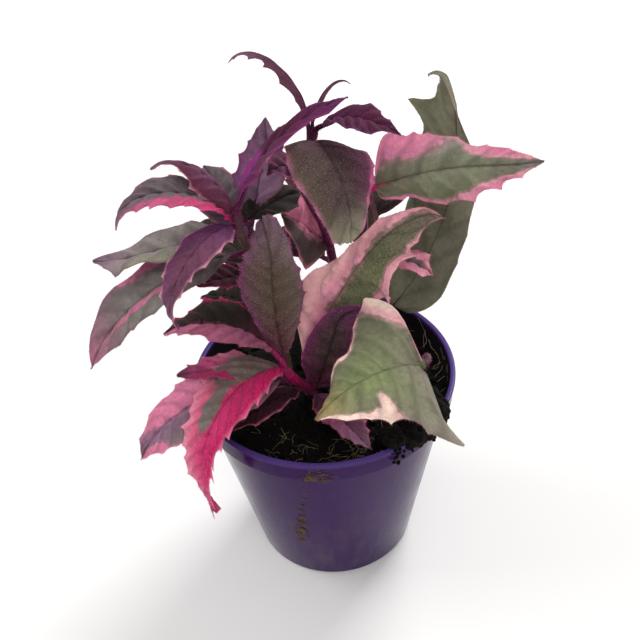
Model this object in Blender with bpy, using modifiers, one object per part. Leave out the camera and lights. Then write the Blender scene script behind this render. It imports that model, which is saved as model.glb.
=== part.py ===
"""A potted purple passion plant: a thin plastic nursery pot, its peat soil and five leafy stems.

Metres, +Z up. The origin is the middle of the pot's flat base.
"""

import math
from typing import NamedTuple

import bmesh
import bpy
from mathutils import Vector, noise

MM = 0.001

# The pot: a 100 mm nursery pot
RIM_RADIUS = 0.050
POT_HEIGHT = 0.084
BASE_RADIUS = 0.032
WALL = 0.0012
FLOOR = 0.0018
LIP_HEIGHT = 0.0018
LIP_OVERHANG = 0.0009
BAND_HEIGHT = 0.0085
BAND_STEP = 0.0005
BASE_ROUND = 0.0016
POT_STEPS = 44

# Drainage holes in the pot's floor, clear of its middle
DRAIN_HOLES = 6
DRAIN_RADIUS = 0.0032
DRAIN_CIRCLE = 0.0215

# The soil, heaped a little round the stems and spilled over the rim at the front right
GAP = 0.0003
SOIL_LEVEL = 0.0745
SOIL_HEAP = 0.0030
SOIL_ROUGH = 0.0012
SOIL_EDGE_DROP = 0.001
CRUMB_GRAIN = 0.009
SOIL_STEPS = 28
SOIL_RINGS = 6
SPILL_CRUMBS = 5
SPILL_FROM, SPILL_TO = -58, -28
SPILL_SLOPE = ((0, 0), (0.0042, 0.0052))
SPILL_INSET = 0.0065
SPILL_BULGE = 0.0030
SPILL_STAGGER = 0.0012
CRUMB_RADIUS = 0.0054
CRUMB_SINK = 0.0012
CRUMB_LUMPS = 0.22

# The stems and leaves. A stalk's and a tooth's size are in millimetres, each with a share of its leaf's width
BLADE = 0.0007
STEM_SIDES = 8
STALK_SIDES = 6
STEM_DEPTH = 0.018
HOLE_PLAY = 0.0003
HOLE_PAST = 0.001
HOLE_SIDES = 12
SPINE_STEPS = 48
STALK_STEPS = 3
STALK_RADIUS = 0.8
STALK_SHARE = 0.016
STALK_TAPER = 0.6
STALK_INTO_BLADE = 0.14
CUP = 0.10
CUPPED_FROM = 18.5
WAVE = 0.035
TOOTH = 0.5
TOOTH_SHARE = 0.022
TOOTH_LEAN = 1.5
NOTCH = 0.93
LEAST_HALF_WIDTH = 0.5
STATION_APART = 0.03


class Leaf(NamedTuple):
    """One leaf. Lengths are in millimetres and angles in degrees."""

    at: float  # where it leaves its stem, 0 at the foot and 1 at the top
    heading: float  # its direction seen from above, anticlockwise from +X
    rise: float  # its slope where it leaves the stem
    droop: float  # how far that slope has fallen by the tip
    length: float
    width: float
    hook: float = 0.0  # further fall over the last third
    curl: float = 0.0  # further fall over the last seventh
    swing: float = 0.0  # turn of the heading by the tip
    roll: float = 0.0  # lean of the blade to its right side
    twist: float = 0.0  # further lean by the tip
    fold: tuple = (12.0, 12.0)  # how far the right and left halves stand up from the midrib
    arch: float = 1.0  # under 1 bends near the stem, over 1 near the tip
    stalk: float = 0.10  # the share of the length that is stalk
    belly: float = 0.42  # where along the blade it is widest
    blunt: float = 0.9  # lower makes a fuller blade
    swells: tuple = ()  # where the blade is wider: (side, along, further reach, half breadth)
    lobes: tuple = ()  # larger points: (side, along, reach, half breadth, lean ahead, lift)
    teeth: int = 4  # on each side


class Shoot(NamedTuple):
    """One stem as points in millimetres from the soil up, its radii there and at the top, and its leaves."""

    stem: tuple
    radii: tuple
    leaves: tuple


SHOOTS = {
    "front_shoot": Shoot(
        stem=((-3, -3, 72), (-6, -6, 80), (-11, -11, 90), (-14, -12, 96)),
        radii=(2.0, 1.5),
        leaves=(
            Leaf(0.95, 120, 70, -48, 69, 24, hook=150, swing=-20, roll=-13, twist=-24, fold=(13, 11),
                 belly=0.5, blunt=0.75, swells=((-1, 0.25, -2.0, 0.2), (-1, 0.85, -2.0, 0.25)), teeth=5),
            Leaf(0.36, 24, 81, 50, 94, 27, hook=40, curl=40, swing=-20, roll=68, twist=-38, fold=(-5, 8),
                 belly=0.48, swells=((-1, 0.6, -6, 0.4), (1, 0.62, -3, 0.15), (1, 0.25, -5, 0.25)),
                 lobes=((1, 0.72, 3.5, 0.07, 5, 1), (1, 0.58, 8, 0.1, -6, 1)), teeth=6),
            Leaf(0.16, -4, 71, -7, 51, 24, hook=120, swing=-4, roll=65, twist=-11, fold=(-1, 58), stalk=0.06),
            Leaf(0.83, 220, 76, 208, 91, 30, hook=-20, swing=8, twist=23, arch=0.76, belly=0.36,
                 swells=((-1, 0.6, -6, 0.3), (-1, 0.12, -3, 0.15)), teeth=6),
            Leaf(0.99, 172, 77, 118, 55, 24, hook=-13, swing=7, arch=1.16, fold=(15, 14), stalk=0.2),
            Leaf(0.84, 193, 35, 33, 44, 20, hook=8, roll=7),
            Leaf(0.69, 196, 28, 85, 72, 29, hook=12, twist=-17, fold=(0, 0), teeth=5),
            Leaf(0.46, 222, 19, 29, 43, 20, hook=-21, roll=16),
            Leaf(0.30, 300, 6, 8, 40, 15, roll=-8, teeth=3),
        ),
    ),
    "left_shoot": Shoot(
        stem=((-14, 10, 72), (-17, 9, 108), (-21, 5, 131), (-24.5, -3, 152), (-25, -5, 162)),
        radii=(2.2, 1.4),
        leaves=(
            Leaf(0.84, 194, 82, 115, 60, 17, hook=52, swing=4, roll=-13, twist=12, belly=0.45,
                 swells=((1, 0.75, -1.5, 0.25),)),
            Leaf(0.93, 160, 88, 115, 44, 13, hook=29, arch=1.13, fold=(-35, -35), stalk=0.05, belly=0.35,
                 swells=((-1, 0.75, -2, 0.25), (1, 0.75, -2, 0.25))),
            Leaf(0.87, 119, 51, 34, 29, 20),
            Leaf(0.80, 53, 60, -6, 45, 19, hook=-32, roll=6, twist=7, belly=0.45,
                 swells=((1, 0.2, -6, 0.3),), lobes=((1, 0.8, 3, 0.12, 3, 0),)),
            Leaf(1.00, -4, 72, 53, 58, 19, swing=-2, roll=-13, fold=(-5, 19), stalk=0.05, belly=0.45,
                 swells=((-1, 0.72, -2.5, 0.28),)),
            Leaf(0.87, 184, 2, 22, 52, 20, hook=-28, swing=-4, belly=0.45,
                 swells=((1, 0.2, 4, 0.25),), lobes=((-1, 0.81, 6, 0.08, 0, -1),)),
            Leaf(0.75, 205, 17, 71, 73, 24, hook=12, swing=5, twist=-10, fold=(8, 9), belly=0.45,
                 swells=((1, 0.65, 2.5, 0.3),), teeth=5),
            Leaf(0.92, 238, 42, 137, 56, 20, hook=29, swing=-15, twist=15, fold=(-4, 0), belly=0.4,
                 swells=((-1, 0.62, -5, 0.38),)),
            Leaf(0.92, 40, 14, 22, 29, 17, hook=23, roll=10, twist=15, swells=((1, 0.25, -6, 0.35),)),
            Leaf(0.62, 210, 14, 2, 27, 12, hook=-9, roll=-10, teeth=3),
            Leaf(0.56, 125, 30, 60, 50, 24, teeth=3),
            Leaf(0.36, 150, 20, 45, 34, 20, teeth=3),
        ),
    ),
    "tall_shoot": Shoot(
        stem=((6, 20, 72), (7, 19, 110), (4.5, 13, 139), (-2, 2, 165), (0, 3, 176), (3, 4, 184)),
        radii=(1.9, 1.2),
        leaves=(
            Leaf(0.92, 162, 110, 117, 55, 6, hook=56, swing=-6, arch=1.15, fold=(-55, -55)),
            Leaf(0.97, 15, 95, 75, 29, 4, hook=87, fold=(-45, -45), teeth=2),
            Leaf(1.00, -26, 55, 96, 33, 15, hook=-13, arch=0.91, stalk=0.15, swells=((1, 0.6, 2.5, 0.4),)),
            Leaf(0.96, 288, 46, 162, 52, 32, hook=5, swing=6, roll=-8, twist=-14, fold=(2, -4),
                 belly=0.38, blunt=0.6, swells=((1, 0.25, -5, 0.5),), lobes=((-1, 0.06, 0, 0.12, -4, 2),),
                 teeth=5),
            Leaf(0.90, 200, 30, 60, 14, 14, teeth=3),
            Leaf(0.48, 193, 67, 34, 27, 22, roll=-27, twist=-12, fold=(16, 13)),
            Leaf(0.62, 92, 25, 75, 50, 24, teeth=3),
            Leaf(0.42, 140, 22, 70, 44, 22, teeth=3),
        ),
    ),
    "rear_shoot": Shoot(
        stem=((15, 22, 72), (19, 22, 110), (22, 20, 135), (20.5, 17.5, 149), (18.5, 17, 155.5)),
        radii=(2.2, 1.4),
        leaves=(
            Leaf(0.95, -11, 28, 35, 63, 28, hook=-24, swing=-4, roll=35, twist=3, stalk=0.06, belly=0.3,
                 swells=((-1, 0.12, 7, 0.15), (-1, 0.62, -2.5, 0.18), (1, 0.2, -5, 0.2), (1, 0.6, 2.5, 0.2)),
                 lobes=((-1, 0.27, 2.5, 0.06, 1, 0),), teeth=6),
            Leaf(0.57, -26, 26, 66, 27, 14, stalk=0.4, teeth=3),
            Leaf(0.09, 23, 27, -89, 131, 47, hook=-6, curl=-75, swing=13, roll=-6, twist=6, arch=0.95,
                 stalk=0.14, belly=0.27, swells=((1, 0.45, -3, 0.3), (1, 0.78, -9, 0.33), (-1, 0.66, 4.5, 0.25)),
                 lobes=((-1, 0.71, 11, 0.07, 3, 0),), teeth=6),
            Leaf(0.74, 50, 25, 70, 48, 25, teeth=3),
            Leaf(0.52, 78, 20, 70, 50, 26, teeth=3),
            Leaf(0.30, 115, 10, 50, 34, 22, teeth=3),
        ),
    ),
    "right_shoot": Shoot(
        stem=((33, 0, 72), (37, -9, 90), (37, -20, 104), (34.5, -29, 109)),
        radii=(2.0, 1.5),
        leaves=(
            Leaf(1.00, 206, 29, 76, 46, 61, swing=-7, roll=-29, twist=52, fold=(3, -3), stalk=0.04, belly=0.2,
                 swells=((-1, 0.4, -6, 0.35), (-1, 0.8, 2.5, 0.2), (1, 0.62, -5, 0.4), (1, 0.4, -5, 0.25)),
                 lobes=((1, 0.13, 1.5, 0.09, 3, 0), (-1, 0.05, 5, 0.11, -14, -2)), teeth=6),
        ),
    ),
}

parts = bpy.data.collections.new("potted_purple_passion_plant")
cutters = bpy.data.collections.new("cutters")
cutters.hide_render = True


def clear_scene():
    for thing in list(bpy.data.objects):
        bpy.data.objects.remove(thing, do_unlink=True)
    for collection in (parts, cutters):
        bpy.context.scene.collection.children.link(collection)


def linear(hex_colour):
    """An sRGB hex colour as the linear RGBA that a material takes."""
    channels = (int(hex_colour[i : i + 2], 16) / 255 for i in (1, 3, 5))
    return (*(c / 12.92 if c <= 0.04045 else ((c + 0.055) / 1.055) ** 2.4 for c in channels), 1.0)


def finish_of(name, colour, roughness):
    made = bpy.data.materials.new(name)
    made.use_nodes = True
    shader = made.node_tree.nodes["Principled BSDF"]
    shader.inputs["Base Color"].default_value = linear(colour)
    shader.inputs["Roughness"].default_value = roughness
    return made


def place(name, mesh, collection):
    """A new object. One that is only a cutter or a piece to be joined is drawn as a wire and not rendered."""
    made = bpy.data.objects.new(name, mesh)
    collection.objects.link(made)
    if collection is not parts:
        made.display_type = "WIRE"
        made.hide_render = True
    return made


def mesh_from(name, work):
    """The bmesh as a mesh, with its faces turned outwards."""
    bmesh.ops.recalc_face_normals(work, faces=work.faces)
    mesh = bpy.data.meshes.new(name)
    work.to_mesh(mesh)
    work.free()
    return mesh


def apply_modifiers(thing):
    graph = bpy.context.evaluated_depsgraph_get()
    graph.update()
    mesh = bpy.data.meshes.new_from_object(thing.evaluated_get(graph))
    thing.modifiers.clear()
    thing.data = mesh


def turned(name, profile, steps, collection):
    """A profile of (radius, height) points, from the axis round to the axis again, turned about Z."""
    mesh = bpy.data.meshes.new(name)
    mesh.from_pydata([(r, 0, z) for r, z in profile], [(i, i + 1) for i in range(len(profile) - 1)], [])
    thing = place(name, mesh, collection)
    turn = thing.modifiers.new("turn", "SCREW")
    turn.steps = turn.render_steps = steps
    turn.use_merge_vertices = True
    turn.merge_threshold = 0.00005
    apply_modifiers(thing)
    return thing


def boolean(thing, others, operation, solver="EXACT"):
    """Cuts or joins a collection of objects, and then removes them."""
    change = thing.modifiers.new(operation.lower(), "BOOLEAN")
    change.operation = operation
    change.operand_type = "COLLECTION"
    change.collection = others
    change.solver = solver
    apply_modifiers(thing)
    for other in list(others.objects):
        bpy.data.objects.remove(other, do_unlink=True)


def keep_main_body(thing):
    """Drops loose scraps, and the walls of any hollow that a join sealed."""
    work = bmesh.new()
    work.from_mesh(thing.data)
    bodies = []
    unseen = set(work.verts)
    while unseen:
        body = set()
        edge = [unseen.pop()]
        while edge:
            vertex = edge.pop()
            body.add(vertex)
            for link in vertex.link_edges:
                other = link.other_vert(vertex)
                if other in unseen:
                    unseen.discard(other)
                    edge.append(other)
        bodies.append(body)
    main_body = max(bodies, key=len)
    bmesh.ops.delete(work, geom=[v for v in work.verts if v not in main_body], context="VERTS")
    work.to_mesh(thing.data)
    work.free()


def helper_collection(name):
    """A collection for the cutters or joined pieces of one Boolean."""
    made = bpy.data.collections.new(name)
    made.hide_render = True
    cutters.children.link(made)
    return made


def wall_radius(height):
    """The pot's outer radius under its band."""
    top = RIM_RADIUS - LIP_OVERHANG - BAND_STEP
    return BASE_RADIUS + (top - BASE_RADIUS) * height / POT_HEIGHT


def pot_profile(grow=0.0):
    """Down the outside, across the base and up the inside. grow makes the clearance that the soil keeps."""
    lip_bottom = POT_HEIGHT - LIP_HEIGHT
    band_bottom = POT_HEIGHT - BAND_HEIGHT
    under_lip = RIM_RADIUS - LIP_OVERHANG
    lip_round = LIP_HEIGHT * 0.3
    outside = [
        (RIM_RADIUS - lip_round, POT_HEIGHT),
        (RIM_RADIUS - lip_round * 0.25, POT_HEIGHT - lip_round * 0.3),
        (RIM_RADIUS, POT_HEIGHT - lip_round),
        (RIM_RADIUS, lip_bottom + lip_round * 0.5),
        (RIM_RADIUS - lip_round * 0.5, lip_bottom),
        (under_lip, lip_bottom),
        (under_lip - 0.0002, band_bottom),
        (wall_radius(band_bottom), band_bottom - BAND_STEP),
        (wall_radius(BASE_ROUND), BASE_ROUND),
        (BASE_RADIUS - BASE_ROUND * 0.3, BASE_ROUND * 0.3),
        (BASE_RADIUS - BASE_ROUND, 0),
    ]
    inside = [
        (wall_radius(FLOOR) - WALL, FLOOR),
        (wall_radius(band_bottom) - WALL, band_bottom),
        (under_lip - WALL, POT_HEIGHT - lip_round * 0.5),
        (under_lip - WALL + lip_round * 0.6, POT_HEIGHT),
    ]
    if not grow:
        return [*outside, (0, 0), (0, FLOOR), *inside, outside[0]]
    outer = [(r + grow, z + grow if z > lip_bottom else z) for r, z in outside[:-1]]
    inner = [(r - grow, z + grow) for r, z in inside]
    return [*outer, (outer[-1][0], -0.002), (inner[0][0], -0.002), *inner, outer[0]]


def make_pot():
    finish = finish_of("purple_plastic", "#4E3A86", 0.28)
    pot = turned("pot", pot_profile(), POT_STEPS, parts)
    holes = helper_collection("drain_holes")
    for i in range(DRAIN_HOLES):
        turn = 2 * math.pi * i / DRAIN_HOLES
        work = bmesh.new()
        bmesh.ops.create_cone(
            work, cap_ends=True, segments=12, radius1=DRAIN_RADIUS, radius2=DRAIN_RADIUS, depth=FLOOR * 4
        )
        offset = Vector((math.cos(turn), math.sin(turn), 0)) * DRAIN_CIRCLE
        bmesh.ops.translate(work, verts=work.verts, vec=offset)
        place(f"drain_{i}", mesh_from(f"drain_{i}", work), holes)
    boolean(pot, holes, "DIFFERENCE")
    pot.data.materials.append(finish)
    pot.data.shade_smooth()
    pot.data.set_sharp_from_angle(angle=math.radians(35))


def soil_height(x, y):
    """The soil's surface: a low heap with crumbs."""
    reach = math.hypot(x, y) / RIM_RADIUS
    crumbs = noise.fractal(Vector((x, y, 0)) / CRUMB_GRAIN, 0.8, 2.0, 3)
    return SOIL_LEVEL + SOIL_HEAP * max(0.0, 1 - 1.6 * reach * reach) + SOIL_ROUGH * crumbs


def make_soil():
    finish = finish_of("peat_soil", "#17120E", 0.95)
    top_radius = RIM_RADIUS - LIP_OVERHANG - WALL - GAP - BAND_STEP
    bottom_radius = wall_radius(FLOOR) - WALL - GAP
    edge_z = SOIL_LEVEL - SOIL_EDGE_DROP
    rings = [(top_radius * k / SOIL_RINGS, SOIL_LEVEL) for k in range(SOIL_RINGS)]
    side_radius = bottom_radius + (top_radius - bottom_radius) * (edge_z - FLOOR) / (POT_HEIGHT - FLOOR)
    profile = [*rings, (side_radius, edge_z), (bottom_radius, FLOOR + GAP), (0, FLOOR + GAP)]
    soil = turned("soil", profile, SOIL_STEPS, parts)
    for vertex in soil.data.vertices:
        if vertex.co.z > edge_z + SOIL_EDGE_DROP / 2:
            vertex.co.z = soil_height(vertex.co.x, vertex.co.y)
    # Crumbs of soil that climb over the rim
    crumbs = helper_collection("spilled_crumbs")
    for i in range(SPILL_CRUMBS):
        along = i / (SPILL_CRUMBS - 1)
        turn = math.radians(SPILL_FROM + (SPILL_TO - SPILL_FROM) * along)
        size = CRUMB_RADIUS * (0.85 + 0.3 * math.sin(math.pi * along))
        reach = RIM_RADIUS - SPILL_INSET + SPILL_BULGE * math.sin(math.pi * along) + SPILL_STAGGER * (i % 2)
        # One on the rim, and one below it that it rests on
        for row, (inwards, down) in enumerate(SPILL_SLOPE):
            work = bmesh.new()
            bmesh.ops.create_icosphere(work, subdivisions=1, radius=size)
            out = reach - inwards
            middle = Vector((math.cos(turn) * out, math.sin(turn) * out, POT_HEIGHT - CRUMB_SINK - down))
            for vertex in work.verts:
                lump = noise.noise(vertex.co / CRUMB_GRAIN * 2 + Vector((i * 7.0, row * 3.0, 0)))
                vertex.co *= 1 + CRUMB_LUMPS * lump
                vertex.co += middle
            place(f"crumb_{row}_{i}", mesh_from(f"crumb_{row}_{i}", work), crumbs)
    boolean(soil, crumbs, "UNION")
    clearance = helper_collection("soil_clearance")
    turned("rim_clearance", pot_profile(GAP), POT_STEPS, clearance)
    for name, shoot in SHOOTS.items():
        hole_radius = shoot.radii[0] * MM + HOLE_PLAY
        tube(f"{name}_hole", stem_line(shoot, STEM_DEPTH + HOLE_PAST), hole_radius, HOLE_SIDES, clearance)
    boolean(soil, clearance, "DIFFERENCE")
    keep_main_body(soil)
    soil.data.materials.append(finish)
    soil.data.shade_smooth()


def smooth_line(points, steps_each):
    """A smooth curve through the points, as a Catmull-Rom line."""
    ends = [points[0] * 2 - points[1], *points, points[-1] * 2 - points[-2]]
    line = []
    for a, b, c, d in zip(ends, ends[1:], ends[2:], ends[3:]):
        for k in range(steps_each):
            t = k / steps_each
            square = (2 * a - 5 * b + 4 * c - d) * t**2
            cube = (3 * b - a - 3 * c + d) * t**3
            line.append(0.5 * (2 * b + (c - a) * t + square + cube))
    return [*line, points[-1]]


def stem_line(shoot, depth=STEM_DEPTH):
    """The stem's middle line in metres, from its foot under the soil up."""
    points = [Vector(p) * MM for p in shoot.stem]
    foot = points[0] - Vector((0, 0, depth))
    return [foot, *smooth_line(points, 3)]


def stem_place(shoot, at):
    """The point a share of the way up the stem's line above the soil."""
    line = smooth_line([Vector(p) * MM for p in shoot.stem], 8)
    lengths = [(b - a).length for a, b in zip(line, line[1:])]
    left = at * sum(lengths)
    for a, b, length in zip(line, line[1:], lengths):
        if left <= length:
            return a.lerp(b, left / length)
        left -= length
    return line[-1]


def tube(name, line, radius, sides, collection, end_radius=None):
    """A closed tube along a line of points, as a mesh with its caps welded."""
    curve = bpy.data.curves.new(name, "CURVE")
    curve.dimensions = "3D"
    curve.bevel_depth = radius
    curve.bevel_resolution = sides // 2 - 2
    curve.use_fill_caps = True
    spline = curve.splines.new("POLY")
    spline.points.add(len(line) - 1)
    for i, (point, place_on) in enumerate(zip(spline.points, line)):
        point.co = (*place_on, 1)
        point.radius = 1 + ((end_radius or radius) / radius - 1) * i / (len(line) - 1)
    drawn = bpy.data.objects.new(name, curve)
    collection.objects.link(drawn)
    graph = bpy.context.evaluated_depsgraph_get()
    graph.update()
    mesh = bpy.data.meshes.new_from_object(drawn.evaluated_get(graph))
    bpy.data.objects.remove(drawn, do_unlink=True)
    work = bmesh.new()
    work.from_mesh(mesh)
    bmesh.ops.remove_doubles(work, verts=work.verts, dist=0.00002)
    return place(name, mesh_from(name, work), collection)


def leaf_spine(leaf, base):
    """The midrib as rows of (place, forward, right, up), from the stem to the tip."""
    rows = []
    here = Vector(base)
    step = leaf.length * MM / SPINE_STEPS
    for i in range(SPINE_STEPS + 1):
        s = i / SPINE_STEPS
        heading = math.radians(leaf.heading + leaf.swing * s)
        last_third = max(0.0, (s - 0.65) / 0.35) ** 1.5
        at_tip = max(0.0, (s - 0.86) / 0.14) ** 2
        falls = leaf.droop * s**leaf.arch + leaf.hook * last_third + leaf.curl * at_tip
        slope = math.radians(leaf.rise - falls)
        flat = Vector((math.cos(heading), math.sin(heading), 0))
        forward = flat * math.cos(slope) + Vector((0, 0, math.sin(slope)))
        right = Vector((math.sin(heading), -math.cos(heading), 0))
        up = right.cross(forward)
        lean = math.radians(leaf.roll + leaf.twist * s)
        leant = right * math.cos(lean) - up * math.sin(lean)
        rows.append((here.copy(), forward, leant, leant.cross(forward)))
        here += forward * step
    return rows


def spine_at(rows, s):
    """The row at a share of the leaf's length, between two rows of the spine."""
    place_on = min(max(s, 0.0), 1.0) * SPINE_STEPS
    low = min(int(place_on), SPINE_STEPS - 1)
    return [a.lerp(b, place_on - low) for a, b in zip(rows[low], rows[low + 1])]


def half_width(leaf, u, side):
    """The blade's reach to one side in metres at a share of its length, without its teeth."""
    bend = math.log(0.5) / math.log(leaf.belly)
    body = leaf.width / 2 * math.sin(math.pi * u**bend) ** leaf.blunt
    for swell_side, along, further, breadth in leaf.swells:
        if swell_side == side:
            body += further * math.cos(math.pi / 2 * min(abs(u - along) / breadth, 1)) ** 2
    return max(body, LEAST_HALF_WIDTH) * MM


def lobe_shift(leaf, u, side):
    """How far the larger points reach out, ahead and up there, in metres."""
    shift = Vector((0, 0, 0))
    for lobe_side, along, reach, breadth, lean, lift in leaf.lobes:
        if lobe_side == side:
            shift += Vector((reach, lean, lift)) * max(0.0, 1 - abs(u - along) / breadth) ** 1.6 * MM
    return shift


def blade_stations(leaf):
    """Places along the blade, each with the side whose tooth points there, or 0."""
    count = 2 * leaf.teeth
    rows = [((k + 1) / (count + 1.6), 1 if k % 2 else -1) for k in range(count)]
    rows += [(0.0, 0), (0.5 / (count + 1), 0), (0.95, 0), (1.0, 0)]
    points = [along for _, along, *_ in leaf.lobes]
    rows = [row for row in rows if all(abs(row[0] - along) > STATION_APART for along in points)]
    return sorted([*rows, *((along, 0) for along in points)])


def blade_sheet(leaf, rows, seed):
    """The blade as an open sheet of triangles: a fold at the midrib, a cupped rim, waves and teeth."""
    stations = blade_stations(leaf)
    across = (-1.0, -0.5, 0.0, 0.5, 1.0) if leaf.width > CUPPED_FROM else (-1.0, 0.0, 1.0)
    tooth_length = (TOOTH + leaf.width * TOOTH_SHARE) * MM
    work = bmesh.new()
    grid = []
    for u, pointed_side in stations:
        s = leaf.stalk + (1 - leaf.stalk) * u
        here, forward, right, up = spine_at(rows, s)
        line = []
        for v in across:
            side = 1 if v > 0 else -1
            fold = math.radians(leaf.fold[0] if v > 0 else leaf.fold[1])
            tooth = tooth_length if pointed_side == side and abs(v) == 1 else 0
            reach = half_width(leaf, u, side) * (1 if pointed_side == side else NOTCH)
            lobe_out, lobe_ahead, lobe_lift = lobe_shift(leaf, u, side) * abs(v) ** 3
            out = reach * abs(v) + tooth + lobe_out
            ahead = tooth * TOOTH_LEAN + lobe_ahead
            wave = WAVE * leaf.width * MM * math.sin(u * 11 + seed * 1.7 + side) * v * v
            lift = out * math.sin(fold) - reach * CUP * v * v + lobe_lift + wave
            line.append(
                work.verts.new(here + right * (side * out * math.cos(fold)) + up * lift + forward * ahead)
            )
        grid.append(line)
    for below, above in zip(grid, grid[1:]):
        for j in range(len(across) - 1):
            a, b, c, d = below[j], below[j + 1], above[j + 1], above[j]
            if j < (len(across) - 1) // 2:
                triangles = ((a, b, d), (b, c, d))
            else:
                triangles = ((a, b, c), (a, c, d))
            for corners in triangles:
                work.faces.new(corners)
    return work


def make_blade(name, leaf, rows, seed, collection):
    work = blade_sheet(leaf, rows, seed)
    mesh = bpy.data.meshes.new(name)
    work.to_mesh(mesh)
    work.free()
    blade = place(name, mesh, collection)
    thicken = blade.modifiers.new("thickness", "SOLIDIFY")
    thicken.thickness = BLADE
    thicken.offset = 0
    thicken.use_even_offset = False
    apply_modifiers(blade)
    work = bmesh.new()
    work.from_mesh(blade.data)
    bmesh.ops.triangulate(work, faces=[f for f in work.faces if len(f.verts) > 3])
    blade.data = mesh_from(name, work)


def make_shoot(name, shoot, finish):
    foot, top = (r * MM for r in shoot.radii)
    growth = helper_collection(f"{name}_growth")
    for i, leaf in enumerate(shoot.leaves):
        base = stem_place(shoot, leaf.at)
        rows = leaf_spine(leaf, base)
        make_blade(f"{name}_blade_{i}", leaf, rows, i, growth)
        stalk_end = leaf.stalk + STALK_INTO_BLADE * (1 - leaf.stalk)
        line = [spine_at(rows, stalk_end * k / STALK_STEPS)[0] for k in range(STALK_STEPS + 1)]
        thick = (STALK_RADIUS + leaf.width * STALK_SHARE) * MM
        tube(f"{name}_stalk_{i}", line, thick, STALK_SIDES, growth, thick * STALK_TAPER)
    stem = tube(name, stem_line(shoot), foot, STEM_SIDES, parts, top)
    boolean(stem, growth, "UNION", "MANIFOLD")
    keep_main_body(stem)
    stem.data.materials.append(finish)


def main():
    clear_scene()
    make_pot()
    make_soil()
    leafy = finish_of("velvet_leaf", "#5A4A52", 0.6)
    for name, shoot in SHOOTS.items():
        make_shoot(name, shoot, leafy)


main()
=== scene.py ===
"""The potted purple passion plant as it looks: velvet leaves with their veins, pink parts, teeth and hairs,
hairy stems, a moulded nursery pot and peat with its crumbs and rootlets.

Metres, +Z up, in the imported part's own frame. Stems and leaves grow from the solids' own table, with some
leaves made a little wider or narrower, one at the back turned and one stem thinned.
"""

import math
from typing import NamedTuple

import bmesh
import bpy
import numpy as np
from mathutils import Matrix, Vector, noise

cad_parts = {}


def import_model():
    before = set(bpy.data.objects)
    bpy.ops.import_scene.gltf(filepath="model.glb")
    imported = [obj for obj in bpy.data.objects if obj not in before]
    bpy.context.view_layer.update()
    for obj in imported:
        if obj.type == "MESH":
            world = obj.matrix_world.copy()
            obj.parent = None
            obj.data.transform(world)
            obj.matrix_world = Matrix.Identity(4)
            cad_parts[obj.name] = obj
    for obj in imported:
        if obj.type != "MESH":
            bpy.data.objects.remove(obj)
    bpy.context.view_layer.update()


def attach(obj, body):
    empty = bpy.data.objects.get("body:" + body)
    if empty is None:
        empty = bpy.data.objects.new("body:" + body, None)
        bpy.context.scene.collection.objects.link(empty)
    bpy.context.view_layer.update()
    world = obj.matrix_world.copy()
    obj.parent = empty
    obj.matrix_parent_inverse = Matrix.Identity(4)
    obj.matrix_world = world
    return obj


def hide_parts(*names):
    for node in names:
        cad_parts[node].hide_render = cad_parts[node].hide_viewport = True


MM = 0.001

# The pot, as in the solids
RIM_RADIUS = 0.050
POT_HEIGHT = 0.084
BASE_RADIUS = 0.032
WALL = 0.0012
FLOOR = 0.0018
LIP_HEIGHT = 0.0018
LIP_OVERHANG = 0.0009
BAND_HEIGHT = 0.0085
BAND_STEP = 0.0005
BASE_ROUND = 0.0016
LIP_FROM = POT_HEIGHT - LIP_HEIGHT
BAND_FROM = POT_HEIGHT - BAND_HEIGHT
BAND_RADIUS = RIM_RADIUS - LIP_OVERHANG
DRAIN_HOLES = 6
DRAIN_RADIUS = 0.0032
DRAIN_CIRCLE = 0.0215

# How finely the pot is drawn: steps round it, the bead of its lip and its soft corners
POT_STEPS = 144
DRAIN_STEPS = 32
LIP_BEAD = 0.0006
SOFT_CORNER = 0.0002

# The soil, as in the solids
GAP = 0.0003
SOIL_LEVEL = 0.0745
SOIL_HEAP = 0.0030
SOIL_ROUGH = 0.0012
CRUMB_GRAIN = 0.009
SPILL_CRUMBS = 5
SPILL_FROM, SPILL_TO = -58, -28
SPILL_SLOPE = ((0, 0), (0.0042, 0.0052))
SPILL_INSET = 0.0065
SPILL_BULGE = 0.0030
SPILL_STAGGER = 0.0012
CRUMB_RADIUS = 0.0054
CRUMB_SINK = 0.0012

# The soil's finer form: rings and steps, fine relief, a crumb's lumps as (finer, depth), and loose crumbs
SOIL_RINGS = 60
SOIL_STEPS = 180
SOIL_FINE = 0.0009
FINE_GRAIN = 0.0022
CLUMP_GRAIN = 0.0038
CRUMB_LUMPS = ((1, 0.24), (3.1, 0.13), (7, 0.07))
LOOSE_CRUMBS = 220
SPILL_BITS = 260

# Rootlets and fibres: how many lie and stand, how far out they reach, and their thickness in millimetres
LYING_ROOTS = 90
STANDING_ROOTS = 10
LYING_REACH = 0.0462
STANDING_REACH = 0.0470
FIBRE_RADIUS = 0.08
ROOT_END = 0.04
PEAT_FIBRE_END = 0.05
FIBRE_SIDES = 5
PEAT_FIBRE_STEPS = 10

# Leaves and stems, as in the solids
CUP = 0.10
WAVE = 0.035
WAVE_TURN = 11
WAVE_STAGGER = 1.7
NOTCH = 0.93
STALK_RADIUS = 0.8
STALK_SHARE = 0.016
BASE_HALF_WIDTH = 0.5

# Where a leaf's hook and its curl begin, as shares of its length
HOOK_FROM = 0.65
CURL_FROM = 0.86

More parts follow.
